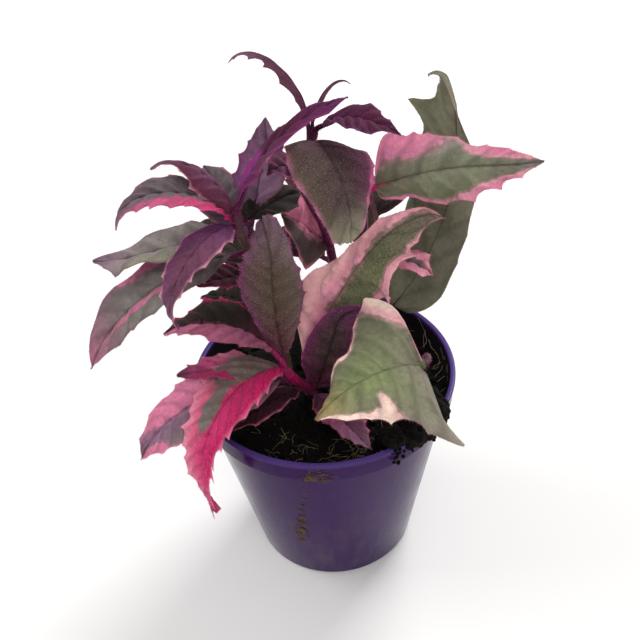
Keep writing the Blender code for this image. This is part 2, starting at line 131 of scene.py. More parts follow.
# How finely leaves and stems are drawn. A blade's thickness and half width are in millimetres
SPINE_STEPS = 96
STEM_DEPTH = 0.004
STEM_SIDES = 16
STALK_SIDES = 10
BLADE_MIDDLE = 0.42
BLADE_RIM = 0.16
THINS_UNDER = 3
TIP_HALF_WIDTH = 0.12
STATIONS_PER_TOOTH = 8
ACROSS = (0.0, 0.05, 0.13, 0.25, 0.38, 0.51, 0.64, 0.76, 0.86, 0.93, 0.975, 1.0)
TOOTH_LEAN = 0.9
TOOTH_ARC = 2.3

# The midrib under a blade: how far along it runs, its steps and its radius at the end
RIB_TO = 0.86
RIB_STEPS = 28
RIB_END = 0.15

# Relief of a blade, in millimetres. It is full where a half of the blade is at least so wide, and a vein's
# width is a share of the way between teeth
VEIN_SWEEP = 0.16
VEIN_WIDTH = 0.13
VEIN_DEPTH = 0.4
QUILTING = 0.8
MIDRIB_DEPTH = 0.35
MIDRIB_HALF_WIDTH = 0.9
FULL_HALF_WIDTH = 4

# How far apart two leaves' colour patterns are taken from, so that no two match
PATTERN_APART = 31.7

# Hairs, in millimetres: lengths, widths, and how many there are on a millimetre or a square millimetre
FRINGE_PER_MM = 5
FRINGE_LENGTH = 0.8
FACE_HAIRS = 1.3
FACE_HAIR_LENGTH = 0.5
FACE_HAIR_WIDTH = 0.07
STEM_HAIRS_PER_MM = 9
STEM_HAIR_LENGTH = 0.75
HAIR_WIDTH = 0.09
BLADE_SHARE = 0.6

# The seeds of the random draws. A leaf's own is its shoot's order times LEAF_SEED plus its number
LEAF_SEED = 100
HAIR_SEED = 700
SOIL_SEED = 5
ROOT_SEED = 11
PEAT_SEED = 23

# The colours of leaves and stems, as they show in daylight
TINTS = {
    "moss": "#7C875C",
    "fern": "#646849",
    "sage": "#80816B",
    "stone": "#80776C",
    "khaki": "#5F6A40",
    "straw": "#B99E68",
    "flax": "#A89C78",
    "chaff": "#6E5632",
    "pewter": "#827A75",
    "ash": "#675C60",
    "taupe": "#70625A",
    "umber": "#5A4B3D",
    "bark": "#4C3A3A",
    "dusk": "#2C2420",
    "mauve": "#8C6A82",
    "grape": "#6E4058",
    "plum": "#6C2E62",
    "violet": "#6A3170",
    "orchid": "#8A2878",
    "wine": "#4E1638",
    "garnet": "#682440",
    "claret": "#3C1826",
    "magenta": "#C4005A",
    "raspberry": "#BC4E7C",
    "fuchsia": "#9C2459",
    "mulberry": "#6A2450",
    "lichen": "#98977C",
    "hot_pink": "#D03070",
    "salmon": "#E88EA2",
    "rose": "#DC809E",
    "mallow": "#B8688A",
    "blush": "#EAA6B0",
    "shell": "#FFC0C0",
    "cream": "#FFE2D0",
}


class Look(NamedTuple):
    """A leaf's colours, by name, and the fine form of its edge."""

    face: str = "ash"  # the middle of its upper face
    edges: tuple = ("ash", "ash")  # the upper face towards its right and left edges
    foot: str = ""  # the face where the blade begins, if it differs
    tip: str = "ash"
    flush: str = "rose"  # its variegated parts, at the foot of the blade
    flush_tip: str = "rose"  # the same at the tip
    heart: str = ""  # the middle of those parts, if it differs
    flushes: tuple = ()  # where they lie: (across, along, half breadth, half length), across from -1 to 1
    back: str = "plum"  # the underside
    rim: str = "rose"  # the points of the teeth, and faintly the edge between them
    stalk: str = "wine"
    points: int = 7  # teeth on each side
    bite: tuple = (1.3, 1.3)  # how far they stand out on the right and left, in millimetres
    ripple: float = 0.5  # how far the edge waves between teeth, in millimetres
    frost: float = 0.15  # how strongly its hairs sparkle


class Leaf(NamedTuple):
    """One leaf. Lengths are in millimetres and angles in degrees."""

    at: float  # where it leaves its stem, 0 at the foot and 1 at the top
    heading: float  # its direction seen from above, anticlockwise from +X
    rise: float  # its slope where it leaves the stem
    droop: float  # how far that slope has fallen by the tip
    length: float
    width: float
    hook: float = 0.0  # further fall over the last third
    curl: float = 0.0  # further fall over the last seventh
    swing: float = 0.0  # turn of the heading by the tip
    roll: float = 0.0  # lean of the blade to its right side
    twist: float = 0.0  # further lean by the tip
    fold: tuple = (12.0, 12.0)  # how far the right and left halves stand up from the midrib
    arch: float = 1.0  # under 1 bends near the stem, over 1 near the tip
    stalk: float = 0.10  # the share of the length that is stalk
    belly: float = 0.42  # where along the blade it is widest
    blunt: float = 0.9  # lower makes a fuller blade
    swells: tuple = ()  # where the blade is wider: (side, along, further reach, half breadth)
    lobes: tuple = ()  # larger points: (side, along, reach, half breadth, lean ahead, lift)
    look: Look = Look()


class Shoot(NamedTuple):
    """One stem: points in millimetres from the soil up, radii and tints at both ends, and leaves."""

    stem: tuple
    radii: tuple
    tints: tuple
    leaves: tuple


# Leaves deep inside the plant, painted near black: painted shade
SHADED = Look("dusk", ("dusk", "claret"), tip="dusk", flush="claret", flush_tip="garnet",
              flushes=((-1.0, 0.5, 0.35, 0.35), (1.0, 0.7, 0.3, 0.25)), back="claret", rim="wine")

SHOOTS = {
    "front_shoot": Shoot(
        stem=((-3, -3, 72), (-6, -6, 80), (-11, -11, 90), (-14, -12, 96)),
        radii=(2.0, 1.5),
        tints=("wine", "magenta"),
        leaves=(
            # The leaf that stands in the middle
            Leaf(0.95, 120, 70, -48, 69, 24, hook=150, swing=-20, roll=-13, twist=-24, fold=(13, 11),
                 belly=0.5, blunt=0.75, swells=((-1, 0.25, -2.0, 0.2), (-1, 0.85, -2.0, 0.25)),
                 look=Look("umber", ("taupe", "grape"), foot="garnet", tip="mauve", rim="orchid",
                           points=9, bite=(1.1, 1.1), frost=0.9)),
            # The leaf that is half pink
            Leaf(0.36, 24, 81, 50, 94, 27, hook=40, curl=40, swing=-20, roll=68, twist=-38, fold=(-5, 8),
                 belly=0.48,
                 swells=((-1, 0.6, -6, 0.4), (-1, 0.33, 5, 0.22), (1, 0.62, -3, 0.15),
                         (1, 0.25, -5, 0.25)),
                 lobes=((1, 0.72, 3.5, 0.07, 5, 1), (1, 0.58, 8, 0.1, -6, 1)),
                 look=Look("fern", ("fern", "pewter"), foot="umber", tip="taupe", flush="rose",
                           flush_tip="blush", heart="shell",
                           flushes=((-1.0, 0.3, 0.95, 0.62), (1.15, 0.62, 0.32, 0.3)), rim="blush",
                           points=6, bite=(1.8, 1.0), frost=1.0)),
            # The cupped leaf with a purple rim
            Leaf(0.16, -4, 71, -7, 51, 24, hook=120, swing=-4, roll=65, twist=-11, fold=(-1, 58),
                 stalk=0.06,
                 look=Look("bark", ("mulberry", "mulberry"), foot="garnet", tip="plum", rim="orchid",
                           points=6, bite=(0.8, 0.8), back="violet", frost=0.4)),
            # The hot pink leaf that hangs over the rim
            Leaf(0.83, 220, 76, 208, 91, 30, hook=-20, swing=8, twist=23, arch=0.76, belly=0.36,
                 swells=((-1, 0.6, -6, 0.3), (-1, 0.12, -3, 0.15)),
                 look=Look("hot_pink", ("salmon", "magenta"), foot="magenta", tip="rose", flush="taupe",
                           flush_tip="pewter", flushes=((0.5, 0.15, 0.5, 0.16), (0.28, 0.4, 0.22, 0.12)),
                           rim="rose", stalk="fuchsia", back="hot_pink", points=13, bite=(2.6, 2.8),
                           frost=0.45)),
            Leaf(0.99, 172, 77, 118, 55, 24, hook=-13, swing=7, arch=1.16, fold=(15, 14), stalk=0.2,
                 look=Look("dusk", ("dusk", "bark"), foot="garnet", tip="bark", flush="mallow",
                           flush_tip="rose", flushes=((-0.85, 0.5, 0.75, 0.65),), rim="magenta",
                           stalk="fuchsia", points=8)),
            Leaf(0.84, 193, 35, 33, 44, 20, hook=8, roll=7,
                 look=Look("raspberry", ("raspberry", "magenta"), tip="grape", flush="mallow",
                           flushes=((0.6, 0.3, 0.6, 0.3),), rim="mallow")),
            Leaf(0.69, 196, 28, 85, 72, 29, hook=12, twist=-17, fold=(0, 0),
                 look=Look("mauve", ("mauve", "pewter"), tip="mauve", flush="mallow", flush_tip="rose",
                           flushes=((0.75, 0.55, 0.75, 0.3), (-0.9, 0.9, 0.5, 0.12)), rim="rose",
                           points=9)),
            Leaf(0.46, 222, 19, 29, 43, 20, hook=-21, roll=16,
                 look=Look("claret", ("claret", "claret"), tip="claret", back="claret", rim="rose",
                           points=8)),
            Leaf(0.30, 300, 6, 8, 40, 15, roll=-8,
                 look=Look("grape", ("claret", "grape"), tip="mauve", flush="raspberry",
                           flush_tip="mauve", flushes=((0.7, 0.7, 0.7, 0.4),))),
        ),
    ),
    "left_shoot": Shoot(
        stem=((-14, 10, 72), (-17, 9, 108), (-21, 5, 131), (-24.5, -3, 152), (-25, -5, 162)),
        radii=(2.2, 1.4),
        tints=("khaki", "wine"),
        leaves=(
            Leaf(0.84, 194, 82, 115, 60, 17, hook=52, swing=4, roll=-13, twist=12, belly=0.45,
                 swells=((1, 0.75, -1.5, 0.25), (-1, 0.72, 1.8, 0.25)),
                 look=Look("ash", ("ash", "ash"), foot="grape", tip="mauve", flush="magenta",
                           flush_tip="mallow", flushes=((-1.05, 0.45, 0.55, 0.42),), rim="mallow",
                           points=10, bite=(0.5, 2.8))),
            Leaf(0.93, 160, 88, 115, 44, 13, hook=29, arch=1.13, fold=(-35, -35), stalk=0.05, belly=0.35,
                 swells=((-1, 0.75, -2, 0.25), (1, 0.75, -2, 0.25)),
                 look=Look("grape", ("plum", "garnet"), foot="garnet", tip="mauve", rim="blush", points=7,
                           bite=(0.5, 1.4))),
            Leaf(0.87, 119, 51, 34, 29, 20,
                 look=Look("ash", ("ash", "ash"), foot="plum", tip="ash", points=5)),
            Leaf(0.80, 53, 60, -6, 45, 19, hook=-32, roll=6, twist=7, belly=0.45,
                 swells=((1, 0.2, -6, 0.3),), lobes=((1, 0.8, 3, 0.12, 3, 0),),
                 look=Look("mauve", ("mauve", "plum"), foot="plum", tip="mauve", points=6, rim="grape")),
            Leaf(1.00, -4, 72, 53, 58, 19, swing=-2, roll=-13, fold=(-5, 19), stalk=0.05, belly=0.45,
                 swells=((-1, 0.72, -2.5, 0.28),),
                 look=Look("wine", ("mulberry", "wine"), foot="plum", tip="plum", flush="orchid",
                           flush_tip="plum", flushes=((-0.6, 0.15, 0.7, 0.2),), rim="orchid", back="plum",
                           points=7)),
            Leaf(0.87, 184, 2, 22, 52, 20, hook=-28, swing=-4, belly=0.45, swells=((1, 0.2, 4, 0.25),),
                 lobes=((-1, 0.81, 6, 0.08, 0, -1),),
                 look=Look("pewter", ("pewter", "sage"), foot="ash", tip="mauve", rim="ash", points=5,
                           bite=(0.4, 1.4))),
            Leaf(0.75, 205, 17, 71, 73, 24, hook=12, swing=5, twist=-10, fold=(8, 9), belly=0.45,
                 swells=((1, 0.65, 2.5, 0.3), (1, 0.3, 2.0, 0.2), (-1, 0.6, -2.0, 0.3)),
                 look=Look("pewter", ("ash", "pewter"), foot="ash", tip="mallow", flush="rose",
                           flush_tip="mallow", flushes=((1.1, 0.32, 0.5, 0.3), (-0.28, 0.58, 0.12, 0.3)),
                           rim="ash", points=7, bite=(0.5, 1.8))),
            Leaf(0.92, 238, 42, 137, 56, 20, hook=29, swing=-15, twist=15, fold=(-4, 0), belly=0.4,
                 swells=((-1, 0.62, -5, 0.38),),
                 look=Look("grape", ("plum", "grape"), foot="violet", tip="mauve", rim="blush",
                           points=8)),
            Leaf(0.92, 40, 14, 22, 29, 17, hook=23, roll=10, twist=15, swells=((1, 0.25, -4, 0.35),),
                 look=Look("dusk", ("dusk", "dusk"), tip="dusk", rim="bark", points=4)),
            Leaf(0.62, 210, 14, 2, 27, 12, hook=-9, roll=-10,
                 look=Look("claret", ("claret", "claret"), tip="wine", back="claret", rim="magenta",
                           points=5)),
            Leaf(0.56, 125, 30, 60, 50, 24, look=SHADED),
            Leaf(0.36, 150, 20, 45, 34, 20, look=SHADED),
        ),
    ),
    "tall_shoot": Shoot(
        stem=((6, 20, 72), (7, 19, 110), (4.5, 13, 139), (-2, 2, 165), (0, 3, 176), (3, 4, 184)),
        radii=(1.9, 1.2),
        tints=("wine", "wine"),
        leaves=(
            Leaf(0.92, 162, 110, 117, 55, 5, hook=56, swing=-6, arch=1.15, fold=(-55, -55),
                 look=Look("grape", ("grape", "grape"), foot="wine", tip="mauve", rim="grape", points=7,
                           bite=(0.2, 2.6))),
            Leaf(0.97, 15, 95, 75, 29, 3, hook=87, fold=(-45, -45),
                 look=Look("grape", ("grape", "grape"), foot="wine", tip="bark", rim="grape", points=3,
                           bite=(0.2, 0.6))),
            Leaf(1.00, -26, 55, 96, 33, 15, hook=-13, arch=0.91, stalk=0.15, swells=((1, 0.6, 2.5, 0.4),),
                 look=Look("wine", ("wine", "wine"), foot="plum", tip="wine", rim="violet", back="violet",
                           points=7, bite=(0.8, 0.6))),
            Leaf(0.96, 288, 46, 162, 52, 32, hook=5, swing=6, roll=-8, twist=-14, fold=(2, -4),
                 belly=0.38, blunt=0.6, swells=((1, 0.25, -0.5, 0.5),),
                 lobes=((-1, 0.06, 0, 0.12, -4, 2),),
                 look=Look("bark", ("umber", "mulberry"), foot="wine", tip="lichen", flush="raspberry",
                           flush_tip="mallow", flushes=((-1.1, 0.7, 0.25, 0.3),), rim="mallow", points=6,
                           bite=(0.7, 0.7), frost=0.5)),
            Leaf(0.90, 200, 30, 60, 14, 14, swells=((1, 0.4, 3, 0.4), (-1, 0.4, 3, 0.4)),
                 look=Look("grape", ("grape", "plum"), tip="grape", points=4)),
            Leaf(0.48, 193, 67, 34, 27, 22, roll=-27, twist=-12, fold=(16, 13),
                 swells=((1, 0.5, 8, 0.4), (-1, 0.5, 9, 0.45)),
                 look=Look("bark", ("bark", "bark"), tip="bark", flush="rose", flush_tip="rose",
                           flushes=((0.85, 0.5, 0.9, 0.85),), points=4, bite=(1.2, 0.8))),
            Leaf(0.62, 92, 25, 75, 50, 24, look=SHADED),
            Leaf(0.42, 140, 22, 70, 44, 22, look=SHADED),
        ),
    ),
    "rear_shoot": Shoot(
        stem=((15, 22, 72), (19, 22, 110), (22, 20, 135), (20.5, 17.5, 149), (18.5, 17, 155.5)),
        radii=(2.2, 1.4),
        tints=("khaki", "wine"),
        leaves=(
            Leaf(0.95, -11, 28, 35, 63, 28, hook=-24, swing=-4, roll=35, twist=3, stalk=0.06, belly=0.3,
                 swells=((-1, 0.12, 7, 0.15), (-1, 0.62, -2.5, 0.18), (1, 0.2, -5, 0.2),
                         (1, 0.6, 2.5, 0.2)), lobes=((-1, 0.27, 2.5, 0.06, 1, 0),),
                 look=Look("sage", ("fern", "pewter"), foot="umber", tip="pewter", flush="mallow",
                           flush_tip="blush", heart="rose",
                           flushes=((-1.0, 0.2, 0.55, 0.24), (-0.85, 0.76, 0.4, 0.2),
                                    (1.05, 0.72, 0.35, 0.25), (1.15, 0.22, 0.25, 0.3)), rim="rose",
                           back="magenta", stalk="magenta", points=7, bite=(1.8, 0.8))),
            Leaf(0.57, -26, 26, 66, 27, 14, stalk=0.4,
                 look=Look("ash", ("rose", "rose"), tip="rose", flush="rose", flush_tip="blush",
                           flushes=((0.8, 0.6, 0.5, 0.5), (-0.8, 0.6, 0.4, 0.5)), points=4)),
            Leaf(0.09, 23, 27, -89, 131, 47, hook=-6, curl=-75, swing=13, roll=-6, twist=6, arch=0.95,
                 stalk=0.14, belly=0.27,
                 swells=((1, 0.45, -3, 0.3), (1, 0.78, -9, 0.33), (-1, 0.66, 4.5, 0.25)),
                 lobes=((-1, 0.71, 11, 0.07, 3, 0),),
                 look=Look("sage", ("sage", "fern"), tip="sage", rim="sage", back="sage", points=8,
                           bite=(1.0, 0.6))),
            Leaf(0.74, 68, 25, 70, 48, 25, look=SHADED),
            Leaf(0.52, 78, 20, 70, 50, 26, look=SHADED),
            Leaf(0.30, 115, 10, 50, 34, 22, look=SHADED),
        ),
    ),
    "right_shoot": Shoot(
        stem=((33, 0, 72), (37, -9, 90), (37, -20, 104), (34.5, -29, 109)),
        radii=(2.0, 1.0),
        tints=("wine", "dusk"),
        leaves=(
            # The big green leaf with cream edges
            Leaf(1.00, 206, 29, 76, 46, 61, swing=-7, roll=-29, twist=52, fold=(3, -3), stalk=0.04,
                 belly=0.2,
                 swells=((-1, 0.4, -6, 0.35), (-1, 0.8, 2.5, 0.2), (1, 0.62, -5, 0.4),
                         (1, 0.4, -5, 0.25)),
                 lobes=((1, 0.13, 1.5, 0.09, 3, 0), (-1, 0.06, 7, 0.12, -13, -2)),
                 look=Look("moss", ("sage", "stone"), foot="stone", tip="straw", flush="blush",
                           flush_tip="cream", heart="cream",
                           flushes=((1.05, 0.1, 0.35, 0.12), (1.12, 0.6, 0.2, 0.5),
                                    (-1.08, 0.72, 0.24, 0.3), (-0.95, 0.52, 0.2, 0.12),
                                    (-0.72, 0.46, 0.26, 0.05)), rim="stone", back="stone", stalk="khaki",
                           points=7, bite=(0.6, 1.0))),
        ),
    ),
}

# What a mesh says about each of its points: the kind of mesh attribute and how many numbers it takes
MARKS = {
    "face_tint": ("FLOAT_COLOR", 4),
    "flush_tint": ("FLOAT_COLOR", 4),
    "leaf_place": ("FLOAT_VECTOR", 3),
    "flush": ("FLOAT", 1),
    "side_vein": ("FLOAT", 1),
    "underside": ("FLOAT", 1),
    "frost": ("FLOAT", 1),
}
MARK_FIELDS = {"FLOAT_COLOR": "color", "FLOAT_VECTOR": "vector", "FLOAT": "value"}


def linear(hex_colour):
    """An sRGB hex colour as the linear RGBA that a material takes."""
    channels = (int(hex_colour[i : i + 2], 16) / 255 for i in (1, 3, 5))
    return (*(c / 12.92 if c <= 0.04045 else ((c + 0.055) / 1.055) ** 2.4 for c in channels), 1.0)


def tint(name):
    return np.array(linear(TINTS[name]))


def mixed(first, second, share):
    return first * (1 - share) + second * share


class Growth:
    """Points, faces and marks, gathered part by part into one mesh."""

    def __init__(self):
        self.points = []
        self.faces = []
        self.finishes = []
        self.marks = {name: [] for name in MARKS}
        self.count = 0

    def add(self, points, faces, finish=0, **marks):
        points = np.asarray(points, float).reshape(-1, 3)
        self.points.append(points)
        self.faces += (np.asarray(faces) + self.count).tolist()
        self.finishes += [finish] * len(faces)
        for name, (_, size) in MARKS.items():
            given = np.asarray(marks.get(name, np.zeros(size)), float)
            self.marks[name].append(np.broadcast_to(given.reshape(-1, size), (len(points), size)))
        self.count += len(points)

    def mesh(self, name, sharp=60):
        made = bpy.data.meshes.new(name)
        made.from_pydata(np.concatenate(self.points).tolist(), [], self.faces)
        for mark, (kind, _) in MARKS.items():
            values = np.concatenate(self.marks[mark])
            numbers = values.astype(np.float32).ravel()
            made.attributes.new(mark, kind, "POINT").data.foreach_set(MARK_FIELDS[kind], numbers)
        made.polygons.foreach_set("material_index", self.finishes)
        made.shade_smooth()
        made.set_sharp_from_angle(angle=math.radians(sharp))
        return made


def grid_quads(rows, columns, closed=False):
    """Quads between the neighbours of a grid of points. A closed grid's last column meets its first."""
    index = np.arange(rows * columns).reshape(rows, columns)
    if closed:
        index = np.concatenate((index, index[:, :1]), axis=1)
    corners = (index[:-1, :-1], index[:-1, 1:], index[1:, 1:], index[1:, :-1])
    return np.stack(corners, axis=-1).reshape(-1, 4)


def unit(vectors):
    return vectors / np.maximum(np.linalg.norm(vectors, axis=-1, keepdims=True), 1e-12)


def rows_at(values, shares):
    """Rows of values, spread evenly from 0 to 1, read at other shares."""
    even = np.linspace(0, 1, len(values))
    return np.stack([np.interp(shares, even, column) for column in np.asarray(values).T], axis=1)


def smooth_line(points, steps_each):
    """A smooth curve through the points."""
    points = [np.asarray(p, float) for p in points]
    ends = [points[0] * 2 - points[1], *points, points[-1] * 2 - points[-2]]
    line = []
    for a, b, c, d in zip(ends, ends[1:], ends[2:], ends[3:]):
        for k in range(steps_each):
            t = k / steps_each
            square = (2 * a - 5 * b + 4 * c - d) * t**2
            cube = (3 * b - a - 3 * c + d) * t**3
            line.append(0.5 * (2 * b + (c - a) * t + square + cube))
    return np.array([*line, points[-1]])


def tube(line, radii, sides):
    """A tube round a line of points, closed by a point at each end: its points and quads."""
    forward = unit(np.gradient(line, axis=0))
    side = np.cross(forward[0], (0.31, 0.95, 0.05))
    rings = []
    for here, ahead, radius in zip(line, forward, radii):
        side = unit(side - ahead * np.dot(side, ahead))
        other = np.cross(ahead, side)
        turns = np.linspace(0, 2 * math.pi, sides, endpoint=False)[:, None]
        rings.append(here + radius * (np.cos(turns) * side + np.sin(turns) * other))
    first = np.repeat(line[:1] - forward[:1] * radii[0] * 0.3, sides, axis=0)
    last = np.repeat(line[-1:] + forward[-1:] * radii[-1] * 0.6, sides, axis=0)
    points = np.concatenate((first, *rings, last))
    return points, grid_quads(len(line) + 2, sides, closed=True)


class Spine(NamedTuple):
    """A leaf's midrib at even steps: its points, and the directions ahead, right and up from the blade."""

    points: np.ndarray
    ahead: np.ndarray
    right: np.ndarray
    up: np.ndarray

    def at(self, shares):
        return Spine(*(rows_at(values, shares) for values in self))


def leaf_spine(leaf, base):
    """The leaf's midrib from its stem to its tip, bent by its droop, hook, curl and swing."""
    s = np.linspace(0, 1, SPINE_STEPS + 1)
    heading = np.radians(leaf.heading + leaf.swing * s)
    last_third = np.clip((s - HOOK_FROM) / (1 - HOOK_FROM), 0, None) ** 1.5
    at_tip = np.clip((s - CURL_FROM) / (1 - CURL_FROM), 0, None) ** 2
    falls = leaf.droop * s**leaf.arch + leaf.hook * last_third + leaf.curl * at_tip
    slope = np.radians(leaf.rise - falls)[:, None]
    flat = np.stack((np.cos(heading), np.sin(heading), 0 * s), axis=1)
    ahead = flat * np.cos(slope) + np.array((0, 0, 1)) * np.sin(slope)
    right = np.stack((np.sin(heading), -np.cos(heading), 0 * s), axis=1)
    up = np.cross(right, ahead)
    lean = np.radians(leaf.roll + leaf.twist * s)[:, None]
    leant = right * np.cos(lean) - up * np.sin(lean)
    steps = ahead[:-1] * leaf.length * MM / SPINE_STEPS
    points = base + np.concatenate((np.zeros((1, 3)), np.cumsum(steps, axis=0)))
    return Spine(points, ahead, leant, np.cross(leant, ahead))


def half_width(leaf, u, side):
    """The blade's reach to one side in metres at shares of its length, without its teeth."""
    bend = math.log(0.5) / math.log(leaf.belly)
    body = leaf.width / 2 * np.sin(math.pi * np.clip(u, 0, 1) ** bend).clip(0) ** leaf.blunt
    for swell_side, along, further, breadth in leaf.swells:
        if swell_side == side:
            body = body + further * np.cos(math.pi / 2 * np.clip(np.abs(u - along) / breadth, 0, 1)) ** 2
    least = BASE_HALF_WIDTH + (TIP_HALF_WIDTH - BASE_HALF_WIDTH) * u
    return np.maximum(body, least) * MM


def tooth_places(leaf, chance):
    """Stations along the blade, and the teeth passed at each, a count that is whole at a tooth's point."""
    teeth = leaf.look.points
    places = (np.arange(teeth + 1) + chance.uniform(-0.2, 0.2, teeth + 1)) / teeth
    places[0], places[-1] = 0, 1
    passed = np.linspace(0, teeth, teeth * STATIONS_PER_TOOTH + 1)
    return np.interp(passed, np.arange(teeth + 1), places), passed


def tooth_count(passed, side):
    """The teeth passed on one side: the left side's stand half a tooth off the right side's."""
    return passed + (0 if side > 0 else 0.5)


def edge_reach(leaf, passed, side, sizes):
    """How far the edge stands out past the plain outline, in metres: arcs that meet in sharp points."""
    count = tooth_count(passed, side)
    nearest = np.round(count)
    arc = (1 - 2 * np.abs(count - nearest)) ** TOOTH_ARC
    along = passed / leaf.look.points
    fade = np.clip(along * 8, 0, 1) * np.clip((1 - along) * 10, 0, 1)
    bite = leaf.look.bite[0 if side > 0 else 1]
    small = np.clip(half_width(leaf, along, side) / (FULL_HALF_WIDTH * MM), 0.35, 1)
    return bite * MM * arc * sizes[nearest.astype(int)] * fade * small


def lobe_shift(leaf, u, side):
    """How far the larger points reach out, ahead and up, in metres, as one row for each station."""
    shift = np.zeros((len(u), 3))
    for lobe_side, along, reach, breadth, lean, lift in leaf.lobes:
        if lobe_side == side:
            rise = np.clip(1 - np.abs(u - along) / breadth, 0, 1) ** 1.6 * MM
            shift += rise[:, None] * (reach, lean, lift)
    return shift


def flush_field(look, u, v):
    """Over 0 where the leaf is variegated, falling away from each place to below 0."""
    field = np.full(np.broadcast(u, v).shape, -1.0)
    for across, along, half_breadth, half_length in look.flushes:
        reach = np.hypot((v - across) / half_breadth, (u - along) / half_length)
        field = np.maximum(field, 1 - reach)
    return field


class Blade(NamedTuple):
    """A leaf blade's middle surface as a grid, along and across, with what its colours and hairs need."""

    points: np.ndarray
    normals: np.ndarray
    u: np.ndarray
    v: np.ndarray
    vein: np.ndarray
    half: np.ndarray
    pointed: np.ndarray
    spine: Spine


def blade_of(leaf, base, number, chance):
    """The blade: a fold at the midrib, a cupped waving rim, sunk veins and a toothed edge."""
    look = leaf.look
    u, passed = tooth_places(leaf, chance)
    sizes = {side: chance.uniform(0.3, 1.3, look.points + 2) for side in (1, -1)}
    spine = leaf_spine(leaf, base).at(leaf.stalk + (1 - leaf.stalk) * u)
    across = np.array([-v for v in reversed(ACROSS[1:])] + list(ACROSS))
    columns = []
    veins = []
    halves = []
    pointed = []
    for v in across:
        side = 1 if v > 0 else -1
        bend = abs(v)
        half = half_width(leaf, u, side)
        fold = math.radians(leaf.fold[0] if v > 0 else leaf.fold[1])
        tooth = edge_reach(leaf, passed, side, sizes[side])
        lobe_out, lobe_ahead, lobe_lift = lobe_shift(leaf, u, side).T
        reach = half * NOTCH
        out = reach * bend + tooth * bend**6 + lobe_out * bend**3
        ahead = TOOTH_LEAN * tooth * bend**6 + lobe_ahead * bend**3
        count = tooth_count(passed, side)
        beside_tooth = np.abs(count - np.round(count))
        full = np.clip(half / (FULL_HALF_WIDTH * MM), 0, 1)
        # The vein that ends at each tooth leaves the midrib some way before it
        vein = count + look.points * VEIN_SWEEP * (1 - bend**1.2)
        beside = np.abs(vein - np.round(vein))
        groove = VEIN_DEPTH * np.exp(-((beside / VEIN_WIDTH) ** 2)) * (1 - bend**4)
        groove -= QUILTING * np.sin(math.pi * vein) ** 2 * np.clip(4 * bend * (1 - bend), 0, 1)
        groove += MIDRIB_DEPTH * np.exp(-((bend * half / MM / MIDRIB_HALF_WIDTH) ** 2))
        groove *= full
        wave = WAVE * leaf.width * np.sin(u * WAVE_TURN + number * WAVE_STAGGER + side) * v * v
        ripple = look.ripple * np.sin(math.pi * passed + number) * bend**4 * full
        lift = out * math.sin(fold) - reach * CUP * v * v + lobe_lift * bend**3
        lift = lift + (wave + ripple - groove) * MM
        columns.append(
            spine.points
            + spine.right * (side * out * math.cos(fold))[:, None]
            + spine.up * lift[:, None]
            + spine.ahead * ahead[:, None]
        )
        veins.append(vein)
        halves.append(half)
        pointed.append((1 - 2 * beside_tooth) ** 2)
    points = np.stack(columns, axis=1)
    along_grid, across_grid = np.gradient(points, axis=(0, 1))
    normals = unit(np.cross(across_grid, along_grid))
    vein, half, pointed = (np.stack(rows, axis=1) for rows in (veins, halves, pointed))
    return Blade(points, normals, u[:, None], across[None, :], vein, half, pointed, spine)


def face_tints(look, blade, field):
    """The tints of the upper face's plain and variegated parts, over the grid."""
    u, v = blade.u[..., None], np.abs(blade.v)[..., None]
    right_edge, left_edge = (tint(name) for name in look.edges)
    plain = mixed(tint(look.face), np.where(blade.v[..., None] > 0, right_edge, left_edge), v**1.8)
    plain = mixed(plain, tint(look.foot or look.face), np.clip(1 - u / 0.42, 0, 1) ** 1.3 * (1 - 0.4 * v))
    plain = mixed(plain, tint(look.tip), np.clip((u - 0.6) / 0.4, 0, 1) ** 1.5)
    on_rim = np.clip((v - 0.88) / 0.12, 0, 1)
    plain = mixed(plain, tint(look.rim), on_rim * (0.4 + 0.6 * blade.pointed[..., None]))
    flush = mixed(tint(look.flush), tint(look.flush_tip), u + 0 * v)
    if look.heart:
        flush = mixed(flush, tint(look.heart), np.clip((field[..., None] - 0.2) / 0.4, 0, 1))
    return plain, flush


def flat(grids, size):
    """Grids one after another, as rows of so many numbers."""
    return np.concatenate([np.asarray(grid).reshape(-1, size) for grid in grids])


